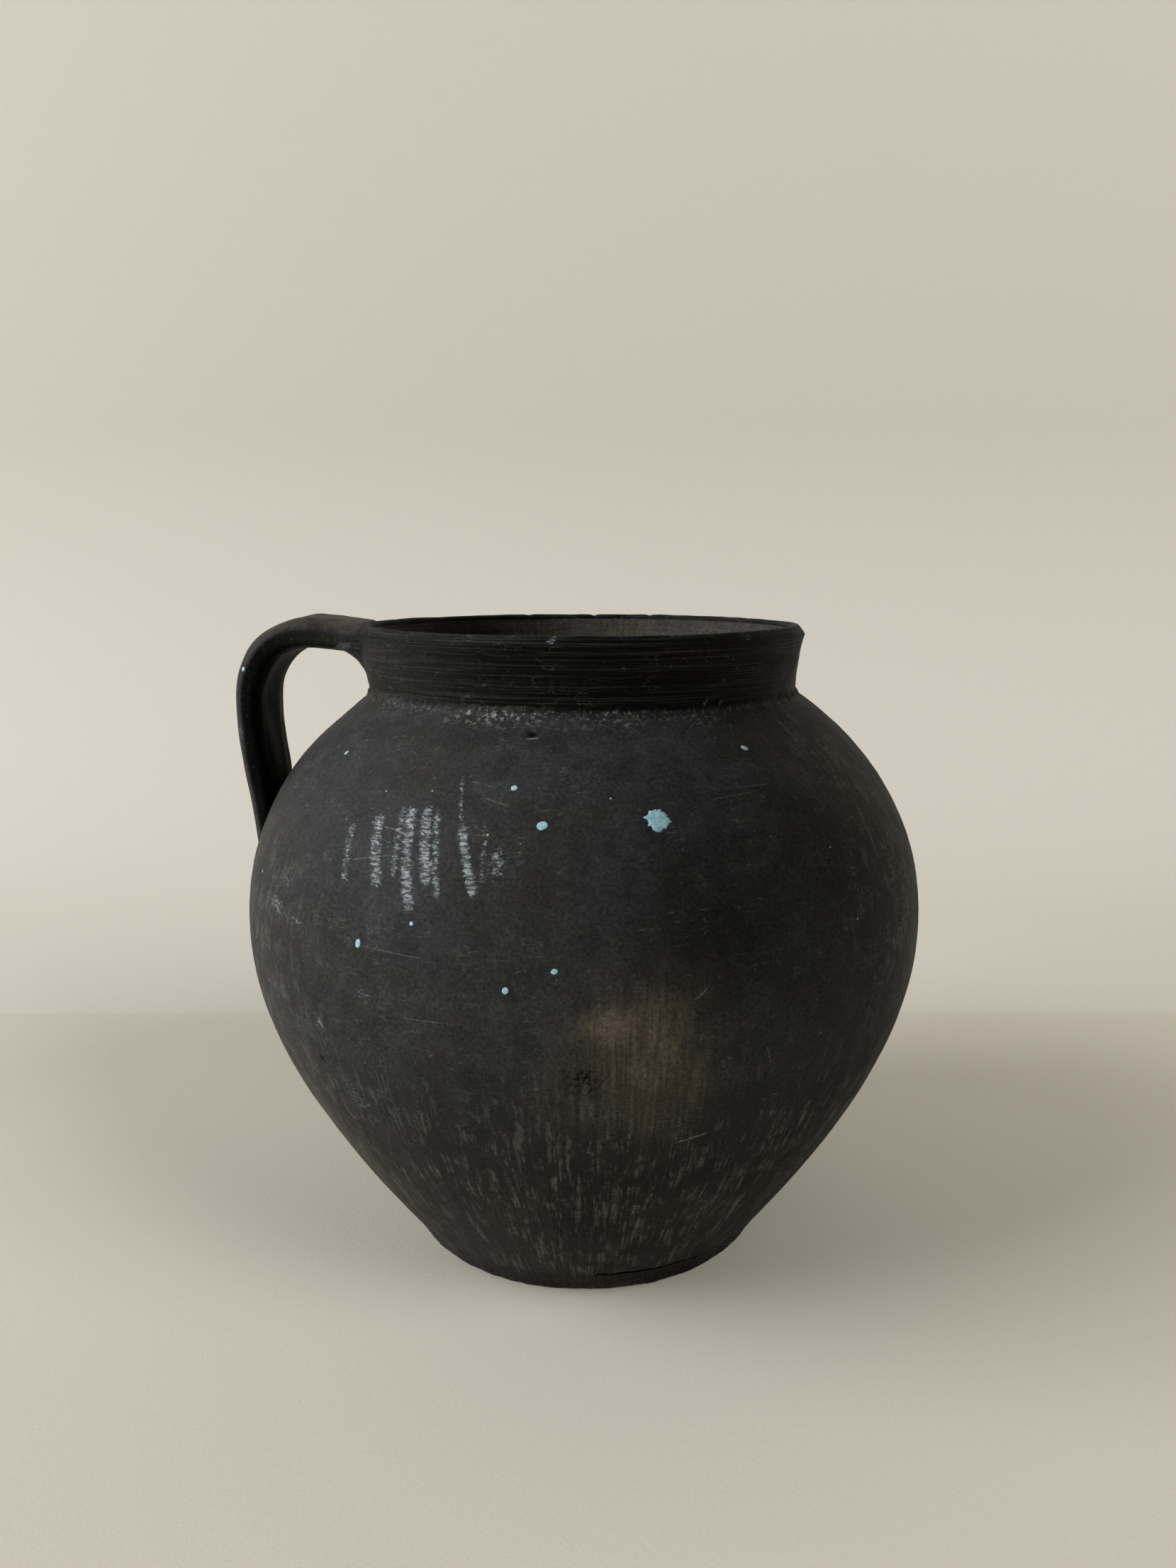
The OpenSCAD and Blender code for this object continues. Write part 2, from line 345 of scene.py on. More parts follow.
# Darker patches: spots in the hollows that DENTS makes, one of them rough, and a broad patch on the belly's front
# right
DARKER_PATCHES = (
    Patch(-10.3, 217.7, 2.0, 0.9, 1.3),
    Patch(-0.1, 113.6, 6.5, 5.0, 0.8),
    Patch(-43.5, 104.4, 1.5, 1.5, 1.2),
    Patch(-7.0, 233.5, 1.0, 2.4, 1.0),
    Patch(-4.6, 233.0, 0.9, 2.0, 1.0),
    Patch(18, 160, 30, 26, 0.45),
)
# How far parts of the skin stand out, or in where the amount is negative
DENTS = (
    Patch(-90, 214, 30, 9, -0.85),
    Patch(-10.3, 217.6, 1.8, 0.8, -0.9),
    Patch(-0.1, 113.6, 6.5, 5.5, -0.28),
    Patch(-7.0, 233.5, 0.9, 2.6, -0.35),
    Patch(-4.6, 233.0, 0.8, 2.2, -0.3),
    Patch(-43.5, 104.4, 1.3, 1.3, -0.6),
    Patch(30.0, 226.0, 1.5, 1.1, 0.35),
    Patch(35.0, 225.6, 1.4, 1.0, 0.3),
    Stroke(-77, 192, -59, 217.0, 1.0, -0.34),
    Stroke(-74, 190, -55.5, 216.0, 1.1, 0.30),
    Stroke(-71.5, 189, -54, 214.5, 0.9, -0.36),
    Stroke(-68, 189, -52.5, 212.0, 1.0, 0.26),
    Stroke(-66, 188, -51, 210.5, 0.8, -0.26),
    Patch(-12.4, 181, 2.6, 4.2, 0.18),
)


# ----------------------------------------------------------- shape of the jar


@dataclass(frozen=True)
class JarProfile:
    """The jar's section, from the CAD nodes, and where its clay was joined."""

    foot_r: float
    band_top_r: float
    root_r: float
    floor_z: float
    belly_r: float
    belly_z: float
    neck_r: float
    neck_z: float
    neck_top_r: float
    lip_z: float
    top_z: float
    recess_z: float
    wall_t: float = 6.5
    neck_t: float = 5.5
    scarf_drop: float = 5.0
    lip_flare: float = 0.8
    lip_bevel: float = 2.2
    crest_r: float = 1.9
    toe: float = 0.8
    course_ends: tuple[float, ...] = (0, 0.2, 0.5, 1, 1.33, 1.67, 2)

    @classmethod
    def from_frame(cls) -> "JarProfile":
        """Reads the section's places from the CAD nodes.

        Returns:
            The profile.
        """
        floor_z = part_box("wall_course_1")[0].z / MM
        belly_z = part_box("wall_course_3")[1].z / MM
        neck_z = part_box("wall_course_6")[1].z / MM
        lip_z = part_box("neck_collar")[1].z / MM
        return cls(
            foot_r=widest("foot_band", 0) + cls.toe,
            band_top_r=widest("foot_band", floor_z),
            root_r=widest("wall_course_1", floor_z),
            floor_z=floor_z,
            belly_r=widest("wall_course_3", belly_z),
            belly_z=belly_z,
            neck_r=widest("wall_course_6", neck_z),
            neck_z=neck_z,
            neck_top_r=widest("neck_collar", lip_z),
            lip_z=lip_z,
            top_z=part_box("lip_coil")[1].z / MM,
            recess_z=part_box("base_slab")[0].z / MM,
        )

    @property
    def flank(self) -> list[tuple[float, float]]:
        """Control points of the body's outside from the foot to the belly."""
        return [
            (self.root_r, self.floor_z),
            (mix(self.root_r, self.belly_r, 0.957), mix(self.floor_z, self.belly_z, 0.583)),
            (self.belly_r, mix(self.belly_z, self.floor_z, 0.155)),
            (self.belly_r, self.belly_z),
        ]

    @property
    def shoulder(self) -> list[tuple[float, float]]:
        """Control points of the body's outside from the belly to the neck."""
        return [
            (self.belly_r, self.belly_z),
            (self.belly_r, mix(self.belly_z, self.neck_z, 0.369)),
            (mix(self.neck_r, self.belly_r, 0.71), mix(self.neck_z, self.belly_z, 0.279)),
            (self.neck_r, self.neck_z),
        ]

    @property
    def neck(self) -> list[tuple[float, float]]:
        """Control points of the neck's outside."""
        return [
            (self.neck_r, self.neck_z),
            (mix(self.neck_r, self.neck_top_r, 0.41), mix(self.neck_z, self.lip_z, 0.27)),
            (mix(self.neck_r, self.neck_top_r, 0.56), mix(self.neck_z, self.lip_z, 0.63)),
            (self.neck_top_r, self.lip_z),
        ]

    def body(self, s: np.ndarray) -> tuple[np.ndarray, np.ndarray]:
        """The body's outside, where s runs from 0 at the foot to 2 at the neck.

        Args:
            s: Places on it.

        Returns:
            Points and outward directions, each (n, 2) as radius and height.
        """
        s = np.atleast_1d(np.asarray(s, float))
        low = (s < 1)[:, None]
        at = np.where(low, bezier(self.flank, s), bezier(self.shoulder, s - 1))
        way = np.where(low, bezier_way(self.flank, s), bezier_way(self.shoulder, s - 1))
        return at, np.stack([way[:, 1], -way[:, 0]], 1)

    def inside_root(self) -> float:
        """The inner radius of the wall where it stands on the slab.

        Returns:
            The radius.
        """
        at, out = self.body([0])
        foot = at[0] - self.wall_t * out[0]
        way = bezier_way(self.flank, 0)[0]
        return float(foot[0] - (foot[1] - self.floor_z) * way[0] / way[1])


@dataclass
class Rows:
    """The rows of a turned section, in order round it."""

    r: np.ndarray
    z: np.ndarray
    out_r: np.ndarray
    out_z: np.ndarray
    climb: np.ndarray
    side: np.ndarray

    @classmethod
    def of(cls, at: np.ndarray, out: np.ndarray, climb: np.ndarray, side: Side) -> "Rows":
        """Rows that all lie on one side.

        Args:
            at: Radius and height of each, shape (n, 2).
            out: The outward direction at each.
            climb: How far each is up the skin.
            side: Which side they lie on.

        Returns:
            The rows.
        """
        at, out = np.atleast_2d(at), np.broadcast_to(out, np.atleast_2d(at).shape)
        climb = np.broadcast_to(np.asarray(climb, float), len(at))
        return cls(at[:, 0], at[:, 1], out[:, 0], out[:, 1], climb, np.full(len(at), side.value))

    def then(self, *others: "Rows") -> "Rows":
        """These rows followed by the others."""
        every = (self, *others)
        return Rows(*(np.concatenate([getattr(o, name) for o in every]) for name in
                      ("r", "z", "out_r", "out_z", "climb", "side")))

    def back(self) -> "Rows":
        """The same rows in the other order."""
        return Rows(self.r[::-1], self.z[::-1], self.out_r[::-1], self.out_z[::-1], self.climb[::-1], self.side[::-1])


@dataclass
class HandWork:
    """What the maker's hands left in the clay: every skin point moves by this one field."""

    profile: JarProfile
    noise: Lattice = field(default_factory=lambda: Lattice(SEED))
    lean: float = math.tan(math.radians(0.31))
    lap_rise: float = 1.15
    neck_off: float = 0.7
    neck_drawn_in: float = 0.7

    def lap(self, turn: np.ndarray) -> np.ndarray:
        """How far the joint of foot strip and wall is open, from 0 to 1.

        Args:
            turn: Turns, in degrees.

        Returns:
            1 where the joint gapes and 0 where it is smeared shut.
        """
        turn = (np.asarray(turn, float) + 180) % 360 - 180
        front = ease(turn, 2.0, 3.4) * (1 - 0.92 * ease(turn, 22, 57)) * ease(turn, 62, 55)
        left = 0.5 * ease(turn, -54, -50) * ease(turn, -41, -44)
        behind = 0.6 * ease(turn, 128, 150) * ease(turn, 172, 160)
        return np.maximum(np.maximum(front, left), behind)

    def outside(self, turn: np.ndarray, r: np.ndarray, z: np.ndarray, climb: np.ndarray) -> np.ndarray:
        """How far the outer skin stands out.

        Args:
            turn: Turns, in degrees.
            r: Radii of the true section.
            z: Heights of the true section.
            climb: How far up the skin.

        Returns:
            Millimetres along the outward direction.
        """
        t = np.radians(turn)
        sin, cos = np.sin(t), np.cos(t)
        x, y = r * sin, -r * cos
        at = self.noise.at
        p = self.profile
        out = 0.14 * np.cos(2 * t + 0.6 + z / 90) + 0.10 * np.cos(3 * t - 1.1 + z / 60) + 0.06 * np.cos(5 * t + z / 35)
        out = out * ease(z, -2, 25)
        out += (
            0.22 * at(x / 38, y / 38, z / 38)
            + 0.10 * at(x / 15 + 9, y / 15, z / 15)
            + 0.05 * at(x / 5, y / 5 + 7, z / 5)
        )
        out += 0.03 * at(x / 1.9, y / 1.9, z / 1.9)
        low = ease(z, 150, 85)
        kx, ky = WRAP_R * sin, WRAP_R * cos
        out += low * (0.17 * at(kx / 8, ky / 8, climb / 60) + 0.09 * at(kx / 2.8, ky / 2.8, climb / 26 + 5))
        high = ease(z, 110, 150) * ease(z, p.neck_z + 1, p.neck_z - 4)
        out += high * (0.06 * at(kx / 40, ky / 40, climb / 3.4) + 0.03 * at(kx / 25, ky / 25 + 3, climb / 1.6))
        neck = ease(z, p.neck_z - 0.5, p.neck_z + 2) * ease(z, p.lip_z + 4.5, p.lip_z + 2)
        neck = neck * (1 - 0.85 * ease(np.abs(turn + 90), 34, 18))
        out += neck * (
            0.13 * at(sin * 2.2, cos * 2.2, z / 2.3)
            + 0.09 * at(sin * 3.1 + 4, cos * 3.1, z / 0.95)
            + 0.04 * at(sin * 9, cos * 9 + 2, z / 0.6)
            - 0.22 * np.exp(-(((z - p.neck_z - 3.8) / 0.5) ** 2)) * (0.6 + 0.4 * at(sin * 4, cos * 4, 3.0))
            - 0.16 * np.exp(-(((z - p.neck_z - 6.1) / 0.4) ** 2)) * (0.6 + 0.4 * at(sin * 5, cos * 5, 7.0))
        )
        for dent in DENTS:
            out += dent.on(turn, z, r)
        rough = Patch(-0.1, 113.6, 7, 6, 1).on(turn, z, r) + Patch(-12.4, 181, 3, 5, 0.7).on(turn, z, r)
        out += 0.16 * rough * at(kx / 1.7, ky / 1.7, climb / 1.4)
        chips = ease(z, p.top_z - 3.2, p.top_z)
        out -= chips * (
            0.55 * np.exp(-(((turn - 176) / 0.9) ** 2)) + 0.4 * np.exp(-(((turn - 158) / 0.7) ** 2))
            + 0.35 * np.exp(-(((turn + 163) / 1.1) ** 2)) + 0.3 * np.exp(-(((turn + 6) / 0.8) ** 2))
            + 0.10 * at(sin * 16, cos * 16, 1.0)
        )
        return out

    def inside(self, turn: np.ndarray, r: np.ndarray, z: np.ndarray) -> np.ndarray:
        """How far the inner skin stands into the jar.

        Args:
            turn: Turns, in degrees.
            r: Radii of the true section.
            z: Heights of the true section.

        Returns:
            Millimetres towards the inside.
        """
        t = np.radians(turn)
        sin, cos = np.sin(t), np.cos(t)
        at = self.noise.at
        p = self.profile
        neck = ease(z, p.neck_z - 6, p.neck_z + 4)
        out = 0.3 * at(sin * 3, cos * 3, z / 9 + 20) + 0.12 * at(sin * 6, cos * 6, z / 3.5)
        out = out * (1 - 0.6 * neck) + 0.15 * at(r * sin / 20, r * cos / 20, z / 20)
        return out + neck * (0.12 * at(sin * 2, cos * 2, z / 1.7) + 0.06 * at(sin * 3, cos * 3 + 5, z / 0.8))

    def settle(self, turn: np.ndarray, r: np.ndarray, z: np.ndarray) -> np.ndarray:
        """Puts turned places in the frame, with the jar's slight lean.

        Args:
            turn: Turns, in degrees.
            r: Radii.
            z: Heights.

        Returns:
            Points, shape (n, 3).
        """
        t = np.radians(turn)
        up_neck = ease(z, self.profile.neck_z - 3, self.profile.neck_z + 9)
        r = r - self.neck_drawn_in * up_neck
        return np.stack([r * np.sin(t) - z * self.lean - self.neck_off * up_neck, -r * np.cos(t), z + 0 * t], 1)


@dataclass
class JarSkin:
    """The jar's outer skin as it really is, so that other clay and paint can be laid on it."""

    profile: JarProfile
    hand: HandWork

    def __post_init__(self) -> None:
        """Tabulates the body's outside by how far up the skin it is."""
        self.s = np.linspace(0, 2, 4001)
        at, out = self.profile.body(self.s)
        self.r, self.z = at.T
        self.out_r, self.out_z = out.T
        self.climb = np.concatenate([[0], np.cumsum(np.hypot(np.diff(self.r), np.diff(self.z)))])

    def places(self, s_from: float, s_to: float, step: float) -> np.ndarray:
        """Places an even step apart along the skin.

        Args:
            s_from: The first place.
            s_to: The last place.
            step: How far apart they are at most.

        Returns:
            The places as s.
        """
        low, high = np.interp([s_from, s_to], self.s, self.climb)
        count = max(2, math.ceil((high - low) / step) + 1)
        return np.interp(np.linspace(low, high, count), self.climb, self.s)

    def climb_at(self, s: np.ndarray) -> np.ndarray:
        """How far up the skin a place is."""
        return np.interp(s, self.s, self.climb)

    def climb_of_height(self, z: float) -> float:
        """How far up the skin a height is."""
        return float(np.interp(z, self.z, self.climb))

    def radius(self, z: np.ndarray) -> np.ndarray:
        """The body's outer radius at a height."""
        return np.interp(z, self.z, self.r)

    def lay(self, turn: np.ndarray, climb: np.ndarray, lift: np.ndarray) -> np.ndarray:
        """Points on or above the outer skin.

        Args:
            turn: Turns, in degrees.
            climb: How far up the skin.
            lift: How far out of it.

        Returns:
            Points, shape (n, 3).
        """
        r, z, out_r, out_z = (np.interp(climb, self.climb, a) for a in (self.r, self.z, self.out_r, self.out_z))
        out = self.hand.outside(turn, r, z, climb) + lift
        return self.hand.settle(turn, r + out_r * out, z + out_z * out)

    def scarfed(self, s: float) -> float:
        """Where the joint at an outer place comes out on the inside."""
        if s in (0, 2):
            return s
        return float(np.interp(self.climb_at(s) - self.profile.scarf_drop, self.climb, self.s))


# ------------------------------------------------------------------- meshes


def turned(
    rows: Rows, steps: int, closed: bool = True, start: float = 0.0, sweep: float = 360.0
) -> bmesh.types.BMesh:
    """Turns a section about the jar's axis: a few steps are spun, and the rest are copies turned on.

    Args:
        rows: The section's rows; each vertex keeps its row's number.
        steps: How many steps the turn is made in, a few times a power of two.
        closed: Whether the section is a loop, rather than a line with both ends on the axis.
        start: The turn at which the section stands.
        sweep: How far it is turned.

    Returns:
        The mesh, with its seam and poles closed.
    """
    bm = bmesh.new()
    number = bm.verts.layers.int.new("row")
    t = math.radians(start)
    spots = []
    for i, (r, z) in enumerate(zip(rows.r, rows.z)):
        spot = bm.verts.new((r * math.sin(t), -r * math.cos(t), z))
        spot[number] = i
        spots.append(spot)
    pairs = list(zip(spots, spots[1:])) + ([(spots[-1], spots[0])] if closed else [])
    edges = [bm.edges.new(pair) for pair in pairs]
    doublings = 0
    while steps % 2 == 0 and steps > 4:
        steps, doublings = steps // 2, doublings + 1
    angle = math.radians(sweep) / 2**doublings
    bmesh.ops.spin(
        bm, geom=spots + edges, cent=(0, 0, 0), axis=(0, 0, 1), angle=angle,
        steps=steps, use_merge=False, use_normal_flip=False, use_duplicate=False,
    )
    for _ in range(doublings):
        copy = bmesh.ops.duplicate(bm, geom=bm.verts[:] + bm.edges[:] + bm.faces[:])["geom"]
        copied = [v for v in copy if isinstance(v, bmesh.types.BMVert)]
        bmesh.ops.rotate(bm, verts=copied, cent=(0, 0, 0), matrix=Matrix.Rotation(angle, 3, "Z"))
        angle *= 2
    bmesh.ops.remove_doubles(bm, verts=bm.verts, dist=0.002)
    if sweep < 360:
        bmesh.ops.holes_fill(bm, edges=[e for e in bm.edges if e.is_boundary], sides=0)
    bmesh.ops.recalc_face_normals(bm, faces=bm.faces)
    return bm


def lofted(spokes: int, stations: int) -> bmesh.types.BMesh:
    """A closed tube of rings, whose points are placed afterwards by station and spoke.

    Args:
        spokes: Points to each ring.
        stations: How many rings.

    Returns:
        The mesh; each vertex keeps its station and spoke.
    """
    bm = bmesh.new()
    station = bm.verts.layers.int.new("station")
    spoke = bm.verts.layers.int.new("spoke")
    ring = bmesh.ops.create_circle(bm, cap_ends=True, radius=1, segments=spokes)["verts"]
    ring.sort(key=lambda v: math.atan2(v.co.y, v.co.x) % (2 * math.pi - 1e-6))
    for k, v in enumerate(ring):
        v[spoke] = k
    edges = list(bm.edges)
    for i in range(1, stations):
        made = bmesh.ops.extrude_edge_only(bm, edges=edges)["geom"]
        new = [v for v in made if isinstance(v, bmesh.types.BMVert)]
        bmesh.ops.translate(bm, verts=new, vec=(0, 0, 1))
        for v in new:
            v[station] = i
        edges = [e for e in made if isinstance(e, bmesh.types.BMEdge) and all(v[station] == i for v in e.verts)]
    bmesh.ops.contextual_create(bm, geom=edges)
    return bm


def numbers(mesh: bpy.types.Mesh, name: str) -> np.ndarray:
    """A mesh's whole-number attribute as an array, after which the mesh no longer has it.

    Args:
        mesh: The mesh.
        name: The attribute's name.

    Returns:
        One number for each vertex.
    """
    values = np.zeros(len(mesh.vertices), np.int32)
    mesh.attributes[name].data.foreach_get("value", values)
    mesh.attributes.remove(mesh.attributes[name])
    return values


def vertices(mesh: bpy.types.Mesh) -> np.ndarray:
    """Reads a mesh's vertices.

    Args:
        mesh: The mesh.

    Returns:
        Their places, shape (n, 3).
    """
    spots = np.zeros(len(mesh.vertices) * 3, np.float32)
    mesh.vertices.foreach_get("co", spots)
    return spots.reshape(-1, 3).astype(float)


def finished(
    name: str, mesh: bpy.types.Mesh, points: np.ndarray, says: dict[str, np.ndarray], reverse: bool = False
) -> bpy.types.Object:
    """Gives a mesh its real places and attributes, and puts it in the scene.

    Args:
        name: The piece's name.
        mesh: The mesh.
        points: Where its vertices are, in millimetres.
        says: Attribute values by name, one number or three for each vertex.
        reverse: Whether the faces have to be turned round.

    Returns:
        The object, at the origin.
    """
    mesh.name = name
    mesh.vertices.foreach_set("co", (points * MM).astype(np.float32).ravel())
    for key, values in says.items():
        kind, part = ("FLOAT_VECTOR", "vector") if np.ndim(values) == 2 else ("FLOAT", "value")
        attribute = mesh.attributes.new(key, kind, "POINT")
        attribute.data.foreach_set(part, np.asarray(values, np.float32).ravel())
    if reverse:
        mesh.flip_normals()
    mesh.update()
    mesh.shade_smooth()
    mesh.set_sharp_from_angle(angle=SHARP)
    piece = bpy.data.objects.new(name, mesh)
    bpy.context.scene.collection.objects.link(piece)
    return piece


def to_mesh(bm: bmesh.types.BMesh) -> bpy.types.Mesh:
    """Writes a bmesh to a new mesh and frees it.

    Args:
        bm: The bmesh.

    Returns:
        The mesh.
    """
    mesh = bpy.data.meshes.new("clay")
    bm.to_mesh(mesh)
    bm.free()
    return mesh


@dataclass
class ClayMarks:
    """What the surface says to its finish: where it is rubbed, flame-brown, scraped or crusted, and where shade and
    warm bounce light are painted.
    """

    profile: JarProfile
    noise: Lattice = field(default_factory=lambda: Lattice(SEED + 1))

    def plain(self, count: int) -> dict[str, np.ndarray]:
        """No marks at all, for so many points."""
        return {name: np.zeros(count) for name in MARK_NAMES} | {"scratch": np.tile([9.0, 0.0, 0.0], (count, 1))}

    def outside(self, turn: np.ndarray, r: np.ndarray, z: np.ndarray) -> dict[str, np.ndarray]:
        """The marks on the outer skin.

        Args:
            turn: Turns, in degrees.
            r: Radii of the true section.
            z: Heights of the true section.

        Returns:
            Attribute values by name.
        """
        p = self.profile
        says = self.plain(len(turn))
        t = np.radians(turn)
        sin, cos = np.sin(t), np.cos(t)
        at = self.noise.at
        x, y = r * sin, r * cos
        cloud = 0.5 + 0.5 * at(x / 24, y / 24, z / 24)
        blotch = 0.5 + 0.5 * at(x / 9, y / 9, z / 9)
        for mark in RUBBED:
            says["rubbed"] = np.maximum(says["rubbed"], mark.on(turn, z, r))
        says["rubbed"] = np.maximum(says["rubbed"], 0.30 * ease(cloud * blotch, 0.42, 0.7) * ease(z, 215, 190))
        for mark in FIRE_AND_RIM_LIGHT:
            says["browned_and_warm_light"] += mark.on(turn, z, r)
        says["browned_and_warm_light"] += 0.2 * ease(z, 120, 20) * cloud
        body = ease(z, p.neck_z + 1, p.neck_z - 6)
        low = ease(z, 140, 70) * ease(z, 4, 16) * (0.40 + 0.6 * cloud)
        left = np.exp(-(((turn + 66) / 20) ** 2)) * ease(z, 195, 150)
        right = np.exp(-(((turn - 62) / 17) ** 2)) * ease(z, 90, 150)
        back = 0.55 * ease(np.abs((turn + 180) % 360 - 180), 95, 130) * ease(cloud, 0.35, 0.8)
        most = np.maximum(np.maximum(low, 0.9 * left), np.maximum(1.0 * right, back))
        says["scraped"] = body * np.clip(most, 0, 1)
        patch = 0.3 * np.exp(-(((turn + 33) / 14) ** 2)) * ease(z, 170, 150) * ease(z, 105, 125)
        says["hatched"] = body * np.clip(0.85 * right + 0.4 * left + patch + 0.5 * back, 0, 1)
        front = np.exp(-(((turn + 8) / 42) ** 2))
        joint = np.exp(-(((z - p.neck_z + 0.6) / 1.2) ** 2))
        joint = joint + 0.45 * np.exp(-(((z - p.neck_z + 2.6) / 2.0) ** 2)) * ease(blotch, 0.45, 0.7)
        says["crust"] = np.clip(joint * (0.2 + 0.8 * front) * (0.3 + blotch), 0, 1)
        says["thrown"] = ease(z, p.neck_z - 0.5, p.neck_z + 1.5)
        # painted shade: the body's right side, turns 22 to 150, is made darker where the window light from the left
        # doesn't reach
        painted_right_shade = ease(turn, 22, 50) * ease(turn, 150, 110)
        # painted shade: the lower body grows darker downwards from 135 mm, least round turn -66 on the left, where the
        # window light falls
        painted_low_shade = ease(z, 135, 55) * ease(z, -1, 2) * (0.35 + 0.52 * ease(np.abs(turn + 66), 20, 75))
        by_handle = ease(np.abs(turn + 90), 34, 18)
        # the neck is smoke-black all round; darker adds painted shade towards its front and right, away from the
        # window light, and darkens the lip's upper part all round
        darker = np.maximum(ease(turn, -66, -12), ease(z, p.lip_z + 2.6, p.lip_z + 3.4))
        neck_smoke_and_shade = says["thrown"] * (0.42 + 0.56 * darker)
        says["thrown"] = says["thrown"] * (1 - 0.9 * by_handle)
        # one share for the deep colour: the neck's smoke-black, the painted shade above and the darker patches below
        says["smoked"] = np.clip(neck_smoke_and_shade + painted_low_shade + 0.30 * painted_right_shade * body, 0, 0.96)
        for mark in DARKER_PATCHES:
            says["smoked"] = np.maximum(says["smoked"], mark.on(turn, z, r))
        says["edge"] = 0.9 * ease(z, p.top_z - 1.6, p.top_z - 0.6) + 0.35 * ease(z, 1.4, 0.2)
        says["pitted"] = Patch(-0.1, 113.6, 6.5, 5.5, 1).on(turn, z, r) + Patch(-12.4, 181, 3, 5, 0.6).on(turn, z, r)
        says["pitted"] += 0.35 * ease(z, 70, 20) * ease(blotch, 0.5, 0.9)
        for mark in SCRATCHES:
            side, along = mark.measure(turn, z, r)
            near = (np.abs(side) < 3.2) & (along > -0.5) & (along < 1.5)
            near &= np.abs(side) < np.abs(says["scratch"][:, 0])
            ends = ease(along, -0.02, 0.12) * ease(along, 1.02, 0.85)
            says["scratch"][near] = np.stack([side / mark.half_w, along, mark.amount * ends], 1)[near]
        return says

    def inside(self, turn: np.ndarray, r: np.ndarray, z: np.ndarray) -> dict[str, np.ndarray]:
        """The marks on the inner skin.

        Args:
            turn: Turns, in degrees.
            r: Radii of the true section.
            z: Heights of the true section.

        Returns:
            Attribute values by name.
        """
        p = self.profile
        says = self.plain(len(turn))
        t = np.radians(turn)
        cloud = 0.5 + 0.5 * self.noise.at(r * np.sin(t) / 30, r * np.cos(t) / 30, z / 30)
        says["browned_and_warm_light"] = 0.15 + 0.35 * cloud * ease(z, p.neck_z - 40, p.neck_z)
        says["thrown"] = ease(z, p.neck_z - 12, p.neck_z)
        says["edge"] = 0.5 * ease(z, p.top_z - 3.4, p.top_z - 1.2)
        return says


# ----------------------------------------------------------------- finishes


def add(
    tree: bpy.types.NodeTree, kind: str, inputs: dict | None = None, **settings: str | float | bool
) -> bpy.types.Node:
    """Adds a node with its settings and links.

    Args:
        tree: The material's node tree.
        kind: The node's type.
        inputs: Values or output sockets by input name or number.
        settings: Properties of the node.

    Returns:
        The node.
    """
    node = tree.nodes.new(kind)
    for key, value in settings.items():
        setattr(node, key, value)
    for key, value in (inputs or {}).items():
        if isinstance(value, bpy.types.NodeSocket):
            tree.links.new(value, node.inputs[key])
        else:
            node.inputs[key].default_value = value
    return node


